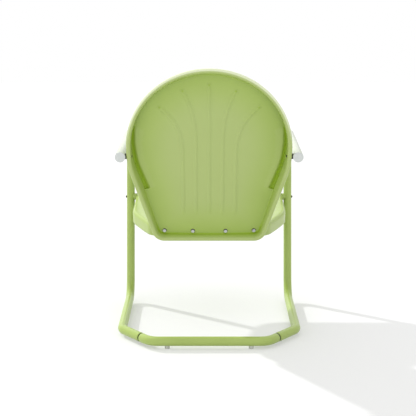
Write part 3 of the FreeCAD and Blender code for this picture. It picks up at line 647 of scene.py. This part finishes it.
# Ribs: how far below their foot their lines start, the heights over which they rise, and their points
RIB_LEAD = 20
RIB_RISE = (RIB_FOOT - 14, RIB_FOOT + 16)
RIB_STEP = 4
RIB_FINE_STEP = 1.5
RIB_FAN = np.linspace(-math.pi / 2, math.pi / 2, 13)[1:-1]
RIB_OFFSETS = np.linspace(-1.15, 1.15, 15) * RIB_REACH


def rib_lines(step):
    """The middle line of each rib, with its direction at every point."""
    lines = []
    for x, bend, end_x, top in RIBS:
        foot = RIB_FOOT - RIB_LEAD
        ys = np.linspace(foot, bend, math.ceil((bend - foot) / step))
        line = np.column_stack((np.full(len(ys), x), ys))
        facing = np.tile((0.0, 1.0), (len(ys), 1))
        if end_x != x:
            out = end_x - x
            up = top - bend
            radius = (out**2 + up**2) / (2 * abs(out))
            turn = 2 * math.atan2(abs(out), up)
            turns = np.linspace(0, turn, math.ceil(turn * radius / step))[1:]
            sign = math.copysign(1, out)
            arc = np.column_stack((x + sign * radius * (1 - np.cos(turns)), bend + radius * np.sin(turns)))
            line = np.concatenate((line, arc))
            facing = np.concatenate((facing, np.column_stack((sign * np.sin(turns), np.cos(turns)))))
        lines.append((line, facing))
    return lines


def rib_points():
    """Points in rows beside each rib, and in a fan round its upper end."""
    points = []
    for line, facing in rib_lines(RIB_STEP):
        across = np.column_stack((facing[:, 1], -facing[:, 0]))
        for offset in RIB_OFFSETS:
            points.append(line + across * offset)
        fan = np.outer(np.cos(RIB_FAN), facing[-1]) + np.outer(np.sin(RIB_FAN), across[-1])
        for reach in RIB_OFFSETS[RIB_OFFSETS > 0]:
            points.append(line[-1] + fan * reach)
    return np.concatenate(points)


dense_ribs = np.concatenate([line for line, _ in rib_lines(RIB_FINE_STEP)])
rib_ends = np.array([line[-1] for line, _ in rib_lines(RIB_STEP)])


def rib_lift(points):
    """How far the ribs stand out behind the panel at each point."""
    gap = np.minimum(nearest(points, dense_ribs), RIB_REACH)
    wave = 0.5 + 0.5 * np.cos(math.pi * gap / RIB_REACH)
    return RIB_HEIGHT * wave * smooth_step(points[:, 1], *RIB_RISE)


def ribbed_skin(behind):
    """Height of the front skin with its ribs, or of a skin that lies behind it, by x and y."""
    return lambda x, y: panel_z(x, behind) - rib_lift(np.array(((x, y),)))[0]


BACK_STEP = 4.5
CHANNEL_FOOT_STEPS = (CHANNEL_FOOT - 14, CHANNEL_FOOT + 10, 0.8)


def back_rim():
    """Points and outward directions along the back's rim."""
    foot_y = BACK_FOOT_CORNER - BACK_FOOT
    reach = BACK_RADIUS - BACK_FOOT_CORNER + (foot_y - hip_rise) * math.sin(BACK_TAPER)
    foot_x = reach / math.cos(BACK_TAPER)
    top = ((0, BACK_RISE), BACK_RADIUS, 0, math.pi)
    hip = ((0, hip_rise), BACK_RADIUS, math.pi, math.pi + BACK_TAPER)
    corner = ((-foot_x, foot_y), BACK_FOOT_CORNER, math.pi + BACK_TAPER, 1.5 * math.pi)
    return rounded_outline([top] + with_mirror([hip, corner]), BACK_STEP, CHANNEL_FOOT_STEPS)


# Reach of the flange from the rim to its crease with the panel, by height
CREASE_HEIGHTS = (-288, CHANNEL_FOOT, -60, -10, 40, CHANNEL_TOP, 150, 200, 277)
CREASE_INSETS = (17, 19, 17, 14, 10.5, 10.5, 12, 15, 21)
CREASE_ROUND = 2.5
FLANGE_BULGE = 0.6
BEAD_END = math.radians(-225)
BEAD_STEPS = 25
# Points of a section on the flange, in the crease and on the panel, where they run further at the sides
FLANGE_SHARES = np.linspace(0, 1, 7)[1:]
CREASE_SHARES = np.linspace(0, 1, 6)[1:]
FLAT_SHARES = np.array((0, 0.06, 0.14, 0.22, 0.30, 0.38, 0.46, 0.54, 0.64, 0.8, 1.0))
FLAT_RUN = 8
SIDE_FLAT_RUN = 20
SIDE_FACING = (0.6, 0.9)
# The side channel by height: where it starts on the flange, its width and its depth
CHANNEL_HEIGHTS = (CHANNEL_FOOT, -60, 0, 60, CHANNEL_TOP)
CHANNEL_EDGES = (0.97, 0.97, 0.97, 0.95, 0.9)
CHANNEL_WIDTHS = (17, 15, 13, 11, 7)
CHANNEL_DEPTHS = (6, 5.6, 5, 3, 0.4)
# Its steep side in (inset, height) steps, one from the flange's edge and the others from its floor at the
# crease; where it runs out, as shares of its width; and how far it takes to start below and to fade above
CHANNEL_LIP = np.array((0.15, 0.3))
CHANNEL_DROP = np.array(((0.5, -1.4), (0.9, -0.6), (1.6, -0.15), (2.5, 0)))
CHANNEL_RUN_OUT = np.array((0.45, 1.2))
CHANNEL_STEP = 1.6
CHANNEL_FADE = 12
# Painted shade and painted light on the back's paint, and how far they reach
CREASE_TONE = 0.5
CREASE_REACH = 3
FOOT_CREASE_TONE = 1.0
FOOT_CREASE_HEIGHTS = (-255, -235)
LIP_TONE = 0.7
LIP_REACH = 2.5
LIP_FACING = (0.5, 0.9)
BORDER_TONE = 0.5
BORDER_WIDTH = 48
BORDER_START = (-1, 2)
# Painted highlight on the bead's roll high on the back, by height and by turn round the bead
PAINTED_HIGHLIGHT_HEIGHTS = (30, 140)
PAINTED_HIGHLIGHT_TURNS = (math.radians(86), math.radians(122))
# Painted sheen on the middle of the panel and along the rim's edge, by distance from the rim
PANEL_SHEEN = (35, 145)
FLANGE_SHEEN = (8, 14)
# Painted shade at the upper ends of the ribs, and how far it reaches
RIB_END_TONE = 0.8
RIB_END_REACH = 3.5


def peak(distance, reach):
    """1 at no distance, and less and less further off."""
    return np.exp(-((distance / reach) ** 2))


def border_tone(inset):
    """How much painted shade the panel has at a distance from the rim."""
    return BORDER_TONE * np.exp(-inset / BORDER_WIDTH)


def curve(first, middle, last, shares):
    """Points on the parabola that starts and ends along the lines to a middle point."""
    shares = shares[:, None]
    return first * (1 - shares) ** 2 + 2 * middle * shares * (1 - shares) + last * shares**2


def flange_foot(bead, crease):
    """The point of the bead at which the flange to a crease leaves it, and its angle round the bead."""
    run = crease - bead
    turn = math.atan2(run[1], run[0]) - math.acos(BEAD_RADIUS / np.linalg.norm(run))
    return bead + BEAD_RADIUS * directions([turn])[0], turn


def bulged(first, last, bulge):
    """The middle point of the parabola between two others that stands out by a distance half-way."""
    run = (last - first) / np.linalg.norm(last - first)
    return (first + last) / 2 + np.array((run[1], -run[0])) * bulge * 2


def plain_skin(foot, crease, flats):
    """The rear skin from the bead over the flange and the crease to the panel."""
    last = crease - (crease - foot) / np.linalg.norm(crease - foot) * CREASE_ROUND
    flange = curve(foot, bulged(foot, crease, FLANGE_BULGE), last, FLANGE_SHARES)
    fold = curve(last, crease, flats[0], CREASE_SHARES)
    return np.concatenate((flange, fold, flats[1:]))


def press_channel(rear, tint, foot, crease, flats, height):
    """The rear skin and its painted shade with as much of the side channel pressed in as there is at a
    height.
    """
    edge_share = np.interp(height, CHANNEL_HEIGHTS, CHANNEL_EDGES)
    width = np.interp(height, CHANNEL_HEIGHTS, CHANNEL_WIDTHS)
    depth = np.interp(height, CHANNEL_HEIGHTS, CHANNEL_DEPTHS)
    edge = foot + (crease - foot) * edge_share
    flange = curve(foot, bulged(foot, edge, FLANGE_BULGE * edge_share), edge, FLANGE_SHARES)
    drop = np.concatenate(((edge + CHANNEL_LIP,), crease + (0, depth) + CHANNEL_DROP))
    shares = 1 - smooth_step(flats[1:, 0] - crease[0], *(width * CHANNEL_RUN_OUT))
    run_out = flats[1:] + np.column_stack((np.zeros(len(shares)), depth * shares))
    pressed = np.concatenate((flange, drop, run_out))
    # Painted shade in the pressed channel
    in_channel = np.concatenate((np.zeros(len(flange)), np.ones(len(drop)), shares))
    share = smooth_step(height, CHANNEL_FOOT - CHANNEL_STEP, CHANNEL_FOOT)
    rear = rear * (1 - share) + pressed * share
    share *= 1 - smooth_step(height, CHANNEL_TOP - CHANNEL_FADE, CHANNEL_TOP)
    return rear, tint * (1 - share) + in_channel * share


def skin_tint(point, facing, rear, foot, inset):
    """How much painted shade the rear skin has: in the crease, by the bead at the foot and on the panel."""
    crease_tone = np.interp(point[1], FOOT_CREASE_HEIGHTS, (FOOT_CREASE_TONE, CREASE_TONE))
    lip_tone = LIP_TONE * smooth_step(-facing[1], *LIP_FACING)
    past_crease = rear[:, 0] - inset
    in_crease = crease_tone * peak(past_crease, CREASE_REACH)
    by_bead = lip_tone * peak(np.linalg.norm(rear - foot, axis=1), LIP_REACH)
    on_panel = border_tone(rear[:, 0]) * smooth_step(past_crease, *BORDER_START)
    return np.max((in_crease, by_bead, on_panel), axis=0)


def front_of(rear, foot):
    """The front skin, one sheet's thickness from the rear skin."""
    run = np.gradient(np.concatenate(((foot,), rear)), axis=0)[1:]
    run /= np.linalg.norm(run, axis=1)[:, None]
    front = rear + SHEET * np.column_stack((-run[:, 1], run[:, 0]))
    front[-1, 0] = rear[-1, 0]
    return front


def rim_section(point, facing):
    """(Inset, height) pairs at a point of the rim, from the rear skin round the bead to the front skin.

    With them come two lists: how much painted shade each of them has, and how much painted highlight.
    """
    inset = np.interp(point[1], CREASE_HEIGHTS, CREASE_INSETS)
    crease = np.array((inset, panel_z(point[0] - facing[0] * inset, SHEET)))
    bead = np.array((np.interp(facing[1], (0, 1), (BEAD_INSET, BEAD_TOP_INSET)), BEAD_RADIUS))
    foot, turn = flange_foot(bead, crease)
    beside = smooth_step(abs(facing[0]), *SIDE_FACING)
    runs = inset + CREASE_ROUND + (FLAT_RUN + SIDE_FLAT_RUN * beside) * FLAT_SHARES
    flats = np.column_stack((runs, panel_z(point[0] - facing[0] * runs, SHEET)))
    rear = plain_skin(foot, crease, flats)
    tint = skin_tint(point, facing, rear, foot, inset)
    height = point[1] - facing[1] * inset
    if beside == 1 and CHANNEL_FOOT - CHANNEL_STEP < height < CHANNEL_TOP:
        rear, tint = press_channel(rear, tint, foot, crease, flats, height)
    turns = np.linspace(turn, BEAD_END, BEAD_STEPS)
    roll = bead + BEAD_RADIUS * directions(turns)
    # A painted highlight on part of the bead's roll
    painted_highlight = smooth_step(-turns, *PAINTED_HIGHLIGHT_TURNS) * smooth_step(point[1], *PAINTED_HIGHLIGHT_HEIGHTS)
    unhighlighted = np.zeros(len(rear))
    return (
        np.concatenate((rear[::-1], roll, front_of(rear, foot))),
        np.concatenate((tint[::-1], np.zeros(len(roll)), tint)),
        np.concatenate((unhighlighted, painted_highlight, unhighlighted)),
    )


# Points of the back's skins: the span and step of their grid, and the gaps that they keep
BACK_GRID = ((-250, -290), (250, 290), 8)
GRID_GAP = 4
RIB_GAP = 1.5


def back_points(edge):
    """Points inside the edge of the back's skins: rows along the ribs and a grid between them."""
    grid = kept_inside(hex_grid(*BACK_GRID), edge, GRID_GAP)
    grid = grid[nearest(grid, dense_ribs) > RIB_REACH + GRID_GAP]
    return np.concatenate((kept_inside(rib_points(), edge, RIB_GAP), grid))


def tint_back(piece, rim, painted_shade_shares, painted_highlight_shares):
    """Give the back's points their painted shade, painted sheen and painted highlight; those of the rim's
    rings come first.
    """
    places = np.array([back_place.inverted() @ (point.co / MM) for point in piece.data.vertices])[:, :2]
    border = nearest(places, rim)
    rings = slice(painted_shade_shares.size)
    # Painted shade: darker towards the rim, and on the rim's rings in its creases and channels
    painted_shade_share = border_tone(border)
    painted_shade_share[rings] = painted_shade_shares.T.ravel()
    # Painted shade at the upper ends of the ribs
    rib_end_shade = RIB_END_TONE * peak(nearest(places, rib_ends), RIB_END_REACH)
    set_tone(piece, "painted_shade", np.maximum(painted_shade_share, rib_end_shade))
    # Painted sheen: paler paint on the middle of the panel and along the rim's edge
    painted_sheen_share = smooth_step(border, *PANEL_SHEEN)
    painted_sheen_share[rings] = np.maximum(painted_sheen_share[rings], 1 - smooth_step(border[rings], *FLANGE_SHEEN))
    set_tone(piece, "painted_sheen", painted_sheen_share)
    # Painted highlight along the top of the bead
    set_tone(piece, "painted_highlight", np.pad(painted_highlight_shares.T.ravel(), (0, len(places) - painted_highlight_shares.size)))


def back_piece():
    points, outward = back_rim()
    parts = zip(*(rim_section(point, facing) for point, facing in zip(points, outward)))
    sections, painted_shade_shares, painted_highlight_shares = (np.array(part) for part in parts)
    rings = rim_rings(points, outward, sections)
    inside = back_points(rings[0][:, :2])
    piece = sheet_piece("back", rings, inside, (ribbed_skin(SHEET), ribbed_skin(0)), back_place, green_paint)
    tint_back(piece, points, painted_shade_shares, painted_highlight_shares)
    return piece


# Seat
SEAT_STEP = 6
SEAT_GRID = ((-260, -470), (260, 0), 12)
SEAT_GRID_GAP = 5
SKIN_RUN = 4
WALL_SHARES = np.linspace(0, 1, 5)[1:-1, None]
SKIRT_ROUND_POINTS = 7
# The hem under the skirt: (inset, height over its foot) from the inside to the outside
SEAT_HEM = np.array(((SHEET, 0.5), (SHEET * 0.75, 0.1), (SHEET / 4, 0.1), (0, 0.5)))


def dish_z(y, drop=0):
    """Height of the seat's top skin in the seat's frame, or of a skin that lies below it."""
    return dish_centre.y - np.sqrt((dish_radius + drop) ** 2 - (y - dish_centre.x) ** 2)


def seat_rim():
    """Points and outward directions round the seat: a curved rear, tapered rear corners, straight sides."""
    rear = np.array((0, -BACK_DEPTH - BACK_CURVE))
    rear_radius = BACK_CURVE - SEAT_GAP
    tilt = math.acos(SEAT_CORNER_START / rear_radius)
    corner = rear + (rear_radius - SEAT_REAR_CORNER) * directions([tilt])[0]
    bend_x = SEAT_HALF - SEAT_TAPER_BEND
    bend_reach = SEAT_REAR_CORNER - SEAT_TAPER_BEND - (bend_x - corner[0]) * math.cos(SEAT_TAPER)
    bend_y = corner[1] + bend_reach / math.sin(SEAT_TAPER)
    front_x = SEAT_HALF - SEAT_FRONT_CORNER
    front_y = seat_front + SEAT_FRONT_CORNER
    side = [
        ((-corner[0], corner[1]), SEAT_REAR_CORNER, math.pi - tilt, math.pi - SEAT_TAPER),
        ((-bend_x, bend_y), SEAT_TAPER_BEND, math.pi - SEAT_TAPER, math.pi),
        ((-front_x, front_y), SEAT_FRONT_CORNER, math.pi, 1.5 * math.pi),
    ]
    return rounded_outline([(rear, rear_radius, tilt, math.pi - tilt)] + with_mirror(side), SEAT_STEP)


def skirt_round(height, slope):
    """Centre and directions of the round from an upright skirt into a skin that meets it at a height."""
    centre = np.array((SEAT_FILLET, height + SEAT_FILLET * (slope - math.hypot(1, slope))))
    turns = np.linspace(math.pi, math.atan2(1, -slope), SKIRT_ROUND_POINTS)
    return centre, directions(turns)


def wall_points(first, last):
    return first + (last - first) * WALL_SHARES


def seat_section(point, facing):
    """(Inset, height) pairs at a point of the seat's rim, from the under skin round the hem to the top."""
    height = dish_z(point[1])
    slope = -facing[1] * (point[1] - dish_centre.x) / (dish_centre.y - height)
    centre, fan = skirt_round(height, slope)
    outer_round = centre + fan * SEAT_FILLET
    inner_round = centre + fan * (SEAT_FILLET - SHEET)
    hem = SEAT_HEM + (0, height - SEAT_SKIRT)
    inset = outer_round[-1, 0] + SKIN_RUN
    y = point[1] - facing[1] * inset
    inner = (((inset, dish_z(y, SHEET)),), inner_round[::-1], wall_points(inner_round[0], hem[0]))
    outer = (wall_points(hem[-1], outer_round[0]), outer_round, ((inset, dish_z(y)),))
    return np.concatenate((*inner, hem, *outer))


def seat_piece():
    points, outward = seat_rim()
    sections = np.array([seat_section(point, facing) for point, facing in zip(points, outward)])
    rings = rim_rings(points, outward, sections)
    grid = kept_inside(hex_grid(*SEAT_GRID), rings[0][:, :2], SEAT_GRID_GAP)
    skins = (lambda x, y: dish_z(y, SHEET), lambda x, y: dish_z(y))
    return sheet_piece("seat", rings, grid, skins, seat_place, green_paint)


# Arms and their caps
ARM_LIP = [(ARM_BORE, 0.4), (ARM_BORE + 0.4, 0), (ARM_RADIUS - 0.5, 0)]
ARM_LIP += [(ARM_RADIUS - 0.15, 0.2), (ARM_RADIUS, 0.6)]


def arm_piece(name, side):
    length = (arm_end - arm_start).length
    profile = ARM_LIP + [(radius, length - height) for radius, height in ARM_LIP[::-1]]
    place = along(mirrored(arm_start, side), mirrored(arm_direction, side))
    return new_piece(name, *turned(profile, closed=True), place, white_paint)


CAP_PROFILE = [(TUBE_BORE - 1.2, -7.5), (TUBE_BORE - 0.3, -6.6), (TUBE_BORE - 0.3, 0)]
CAP_PROFILE += [(ARM_RADIUS - 0.2, 0), (ARM_RADIUS, 0.25), (ARM_RADIUS, 0.9)]
CAP_PROFILE += [(ARM_RADIUS - 0.25, 1.4), (ARM_RADIUS - 0.9, 1.7)]
CAP_PROFILE += [(13.2, 2.0), (10.5, 2.35), (7.5, 2.65), (4.5, 2.86), (1.5, 2.96)]


def cap_piece(name, side):
    place = along(mirrored(arm_end, side), mirrored(arm_direction, side))
    return new_piece(name, *turned(CAP_PROFILE), place, pale_plastic)


# Fasteners
THREAD_RUN = 8
THREAD_TIP = 1
THREAD_PITCH = 0.9
THREAD_DEPTH = 0.35
PAN_DOME = [(4.0, 0), (4.2, -0.2), (4.25, -0.7), (4.15, -1.6), (3.8, -2.4), (3.2, -3.0), (2.7, -3.3)]
SOCKET_HALF = 1.7
SOCKET_DEPTH = 1.5
HEX_LIMIT = HEX_HALF * 0.99
HEX_SLOPE = 0.55
HEX_HEAD = 4
HEX_NECK = 0.3
NUT_HEIGHT = 5
NUT_CHAMFER = 0.5
FOOT_BOLT_LENGTH = 10.9
FOOT_NUT_PLACE = 1.55
SIDE_HEAD_GAP = 0.3
SKIRT_ROOM = 0.15
SIDE_BOLT_TAIL = 7


def threaded(length):
    """A shank from the origin upwards, with the crests and roots of its thread towards its tip."""
    profile = [(BOLT_RADIUS, 0)]
    height = length - THREAD_RUN
    while height < length - THREAD_TIP:
        profile += [(BOLT_RADIUS, height), (BOLT_RADIUS - THREAD_DEPTH, height + THREAD_PITCH / 2)]
        height += THREAD_PITCH
    profile += [(BOLT_RADIUS - 0.1, length - 0.6), (BOLT_RADIUS - 0.6, length)]
    return turned(profile)


def pan_bolt(length):
    """A domed head with a six-sided socket, below the origin, and a shank above it."""
    rings = [circle_ring(radius, height) for radius, height in PAN_DOME]
    rings += [hex_ring(SOCKET_HALF, -PAN_HEAD), hex_ring(SOCKET_HALF - 0.1, SOCKET_DEPTH - PAN_HEAD)]
    return merged([loft(rings), threaded(length)])


def hex_bolt(length):
    """A chamfered six-sided head on a round neck, below the origin, and a shank above it."""
    neck = HEX_HALF * 0.94
    rings = [circle_ring(neck, 0), circle_ring(neck, -HEX_NECK), hex_ring(HEX_HALF, -HEX_NECK)]
    rings.append(hex_ring(HEX_HALF, 0.05 - HEX_HEAD, HEX_LIMIT, -HEX_SLOPE))
    rings.append(hex_ring(HEX_HALF, 0.02 - HEX_HEAD, HEX_LIMIT))
    rings += [circle_ring(HEX_HALF * 0.9, -HEX_HEAD), circle_ring(HEX_HALF * 0.5, 0.15 - HEX_HEAD)]
    return merged([loft(rings), threaded(length)])


def washer():
    outer = WASHER_RADIUS
    bore = BOLT_RADIUS + 0.3
    profile = [(bore, 0.1), (bore + 0.1, 0), (outer - 0.3, 0), (outer, 0.25), (outer, WASHER - 0.25)]
    profile += [(outer - 0.3, WASHER), (bore + 0.1, WASHER), (bore, WASHER - 0.1)]
    return turned(profile, closed=True)


def nut():
    bore = BOLT_RADIUS + 0.05
    mouth = bore + NUT_CHAMFER
    rings = [circle_ring(bore, NUT_CHAMFER), circle_ring(mouth, 0), hex_ring(HEX_HALF, 0, HEX_LIMIT)]
    rings.append(hex_ring(HEX_HALF, 0.02, HEX_LIMIT, -HEX_SLOPE))
    rings.append(hex_ring(HEX_HALF, NUT_HEIGHT - 0.02, HEX_LIMIT, HEX_SLOPE))
    rings += [hex_ring(HEX_HALF, NUT_HEIGHT, HEX_LIMIT), circle_ring(mouth, NUT_HEIGHT)]
    rings.append(circle_ring(bore, NUT_HEIGHT - NUT_CHAMFER))
    return loft(rings, closed=True)


def set_of(name, part, places, material):
    """One piece made of the same part at several places."""
    points, faces = part
    copies = [([place @ Vector(point) for point in points], faces) for place in places]
    return new_piece(name, *merged(copies), Matrix(), material)


def shifted(place, distance):
    return place @ Matrix.Translation((0, 0, distance))


def back_seat_places():
    """Where the bolts along the foot of the back meet its front skin, each with its Z axis forward."""
    places = []
    for x in BACK_SEAT_BOLT_XS:
        point = Vector((x, -BACK_SEAT_BOLT_DROP, panel_z(x)))
        tilt = Matrix.Rotation(-math.asin(x / BACK_CURVE), 4, "Y")
        places.append(back_place @ Matrix.Translation(point) @ tilt)
    return places


def foot_fasteners():
    """The bolts along the foot of the back, by the CAD node that each set stands for."""
    places = back_seat_places()
    heads = [shifted(place, -SHEET - WASHER) for place in places]
    nuts = [shifted(place, FOOT_NUT_PLACE) for place in places]
    return {
        "seat_back_bolts": set_of("seat_back_bolt_set", hex_bolt(FOOT_BOLT_LENGTH), heads, zinc),
        "seat_back_washers": set_of("seat_back_washer_set", washer(), heads, zinc_with_painted_shade),
        "seat_back_nuts": set_of("seat_back_nut_set", nut(), nuts, zinc),
    }


def side_places(x, level, outward):
    """A place at each side of the chair, level with a point, with its Z axis outward (1) or inward (-1)."""
    places = []
    for side in SIDES.values():
        places.append(along(Vector((x * side, level.y, level.z)), Vector((outward * side, 0, 0))))
    return places


def back_bolt_set():
    """The bolts from inside the back's flange into the arms."""
    slope_room = WASHER_RADIUS * math.tan(math.acos(flange_facing))
    head_x = flange_x - SHEET / flange_facing - WASHER - slope_room
    tip_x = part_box("back_bolts")[1].x / MM
    return set_of("back_bolt_set", pan_bolt(tip_x - head_x), side_places(head_x, arm_bolt, 1), dark_steel)


def side_fasteners():
    """The bolts through the uprights into the seat's skirt, by the CAD node that each set stands for."""
    head_x = side_x + TUBE_RADIUS + SIDE_HEAD_GAP
    skirt_run = head_x - (SEAT_HALF - SHEET - SKIRT_ROOM)
    heads = side_places(head_x, seat_bolt, -1)
    washers = [shifted(place, skirt_run) for place in heads]
    nuts = [shifted(place, skirt_run + WASHER) for place in heads]
    bolt = pan_bolt(skirt_run + WASHER + SIDE_BOLT_TAIL)
    return {
        "seat_side_bolts": set_of("seat_side_bolt_set", bolt, heads, dark_steel),
        "seat_side_washers": set_of("seat_side_washer_set", washer(), washers, zinc),
        "seat_side_nuts": set_of("seat_side_nut_set", nut(), nuts, zinc),
    }


# Feet
GLIDE_PROFILE = [(GLIDE_RADIUS - 1.2, 0), (GLIDE_RADIUS - 0.5, 0.15), (GLIDE_RADIUS - 0.1, 0.6)]
GLIDE_PROFILE += [(GLIDE_RADIUS, 1.3), (GLIDE_RADIUS, 6.5)]
GLIDE_PROFILE += [(GLIDE_RADIUS - 0.2, 8), (GLIDE_RADIUS - 0.3, 9.9)]


def on_runner(y):
    """The point of the runner's middle line at a given Y."""
    run = runner_rear - upright_foot
    return upright_foot + run * ((y - upright_foot.y) / run.y)


def glide_piece(name, point):
    place = Matrix.Translation((point.x, point.y, 0))
    return new_piece(name, *turned(GLIDE_PROFILE), place, glide_plastic)


# Pieces that ride the frame
def place_piece(piece, body, slot, *nodes):
    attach(piece, body)
    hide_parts(*nodes)


place_piece(back_piece(), "seat_unit", "green_paint", "back_shell")
place_piece(seat_piece(), "seat_unit", "green_paint", "seat_pan")
place_piece(rear_tube("rear_base"), "base", "green_paint", "rear_base_tube")
for side_name, side in SIDES.items():
    tube = side_tube(f"{side_name}_frame", side)
    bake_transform(tube)
    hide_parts(f"{side_name}_side_tube")
    place_piece(arm_piece(f"{side_name}_arm_tube", side), "seat_unit", "white_paint", f"{side_name}_arm")
    cap = cap_piece(f"{side_name}_arm_cap", side)
    place_piece(cap, "seat_unit", "pale_plastic", f"{side_name}_arm_end_cap")
    glides = {
        "rear": Vector((REAR_GLIDE_X, crossbar_y, 0)),
        "corner": on_runner(runner_rear.y - CORNER_GLIDE_SETBACK),
        "front": on_runner(upright_foot.y + FRONT_GLIDE_SETBACK),
    }
    for place_name, point in glides.items():
        foot = glide_piece(f"{side_name}_{place_name}_foot", mirrored(point, side))
        place_piece(foot, "base", "glide_plastic", f"{side_name}_{place_name}_glide")
for node, piece in (foot_fasteners() | side_fasteners() | {"back_bolts": back_bolt_set()}).items():
    dark = node in ("back_bolts", "seat_side_bolts")
    place_piece(piece, "seat_unit", "dark_steel" if dark else "zinc", node)

# Nodes that keep their CAD shape, with the material that they wear
KEPT = {"arm_weld_nuts": zinc, "back_bolt_washers": green_paint, "base_joint_screws": zinc}
for side_name in SIDES:
    KEPT[f"{side_name}_back_spacer"] = black_rubber
    KEPT[f"{side_name}_seat_spacer"] = green_paint
for node, material in KEPT.items():
    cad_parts[node].data.materials.clear()
    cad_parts[node].data.materials.append(material)

# Floor, light and camera, in metres
WHITE = (1, 1, 1, 1)
FLOOR_HALF = 40
FLOOR_ROUGHNESS = 0.9
FLOOR_TONE = 0.81
FLOOR_GLOW = 0.36
SOFT_BOX = (0.15, -0.57, 0.82)
SOFT_BOX_EDGE = 0.55
SOFT_BOX_CORE = 0.92
SOFT_BOX_LEVEL = 1.9
SKY_LEVELS = (0.355, 1.21)
SKY_TOWARDS = (0.6, 0.3, 1)
KEY_FROM = (1.2, -1.06, 1)
KEY_STRENGTH = 2.35
KEY_SPREAD = math.radians(1.5)
CAMERA_PLACE = (0, 2.614, 0.835)
CAMERA_TILT = math.radians(80)
CAMERA_SENSOR = 36
CAMERA_LENS = 69.2
CAMERA_SHIFT = (-0.0028, 0.001)


def seen_directly(tree):
    """1 where the camera or a reflection looks at a surface, and 0 where it lights something."""
    path = add_node(tree, "LightPath", {})
    rays = {0: path.outputs["Is Camera Ray"], 1: path.outputs["Is Glossy Ray"]}
    return add_node(tree, "Math", rays, "MAXIMUM").outputs["Value"]


def floor_paint():
    """A pale floor that the camera sees as white wherever the light reaches it."""
    material, tree, surface = new_shader("floor", FLOOR_ROUGHNESS)
    surface.inputs["Base Color"].default_value = (FLOOR_TONE, FLOOR_TONE, FLOOR_TONE, 1)
    surface.inputs["Specular IOR Level"].default_value = 0
    glow = add_node(tree, "Emission", {"Strength": 1}).outputs["Emission"]
    share = add_node(tree, "Math", {0: seen_directly(tree), 1: FLOOR_GLOW}, "MULTIPLY").outputs["Value"]
    mix = add_node(tree, "MixShader", {"Fac": share, 1: surface.outputs["BSDF"], 2: glow})
    tree.links.new(mix.outputs["Shader"], tree.nodes["Material Output"].inputs["Surface"])
    return material


def floor_piece():
    mesh = bpy.data.meshes.new("floor")
    corners = [(FLOOR_HALF * x, FLOOR_HALF * y, 0) for x, y in ((-1, -1), (1, -1), (1, 1), (-1, 1))]
    mesh.from_pydata(corners, [], [(0, 1, 2, 3)])
    mesh.materials.append(floor_paint())
    return add_object("floor", mesh)


def facing_share(tree, direction):
    """How far a ray into the surroundings points along a direction, from -1 to 1."""
    look = add_node(tree, "TexCoord", {}).outputs["Generated"]
    pair = {0: look, 1: Vector(direction).normalized()}
    return add_node(tree, "VectorMath", pair, "DOT_PRODUCT").outputs["Value"]


def gleam_level(tree):
    """Strength of the white that is seen: a reflection also finds a soft box above the chair's front."""
    span = {"From Min": SOFT_BOX_EDGE, "From Max": SOFT_BOX_CORE, "To Min": 1, "To Max": SOFT_BOX_LEVEL}
    box = add_node(tree, "MapRange", span | {"Value": facing_share(tree, SOFT_BOX)})
    box.interpolation_type = "SMOOTHSTEP"
    reflected = add_node(tree, "LightPath", {}).outputs["Is Glossy Ray"]
    levels = {"Value": reflected, "To Min": 1, "To Max": box.outputs["Result"]}
    return add_node(tree, "MapRange", levels).outputs["Result"]


def white_surroundings():
    """Soft light from all round that grows towards one side, seen as plain white."""
    world = bpy.data.worlds.new("studio")
    bpy.context.scene.world = world
    world.use_nodes = True
    tree = world.node_tree
    low, high = SKY_LEVELS
    span = {"Value": facing_share(tree, SKY_TOWARDS), "From Min": -1, "To Min": low, "To Max": high}
    level = add_node(tree, "MapRange", span).outputs["Result"]
    light = tree.nodes["Background"]
    light.inputs["Color"].default_value = WHITE
    tree.links.new(level, light.inputs["Strength"])
    seen = add_node(tree, "Background", {"Color": WHITE, "Strength": gleam_level(tree)}).outputs["Background"]
    mix = add_node(tree, "MixShader", {"Fac": seen_directly(tree), 1: light.outputs["Background"], 2: seen})
    tree.links.new(mix.outputs["Shader"], tree.nodes["World Output"].inputs["Surface"])


def add_key():
    """A distant lamp that reflections don't show."""
    lamp = bpy.data.lights.new("key", "SUN")
    lamp.energy = KEY_STRENGTH
    lamp.angle = KEY_SPREAD
    key = add_object("key", lamp)
    key.rotation_euler = Vector(KEY_FROM).to_track_quat("Z", "Y").to_euler()
    key.visible_glossy = False


def add_camera():
    data = bpy.data.cameras.new("camera")
    data.sensor_width = CAMERA_SENSOR
    data.lens = CAMERA_LENS
    data.shift_x, data.shift_y = CAMERA_SHIFT
    camera = add_object("camera", data)
    camera.location = CAMERA_PLACE
    camera.rotation_euler = (CAMERA_TILT, 0, math.pi)
    bpy.context.scene.camera = camera


floor_piece()
white_surroundings()
add_key()
add_camera()
bpy.context.scene.view_settings.view_transform = "Standard"
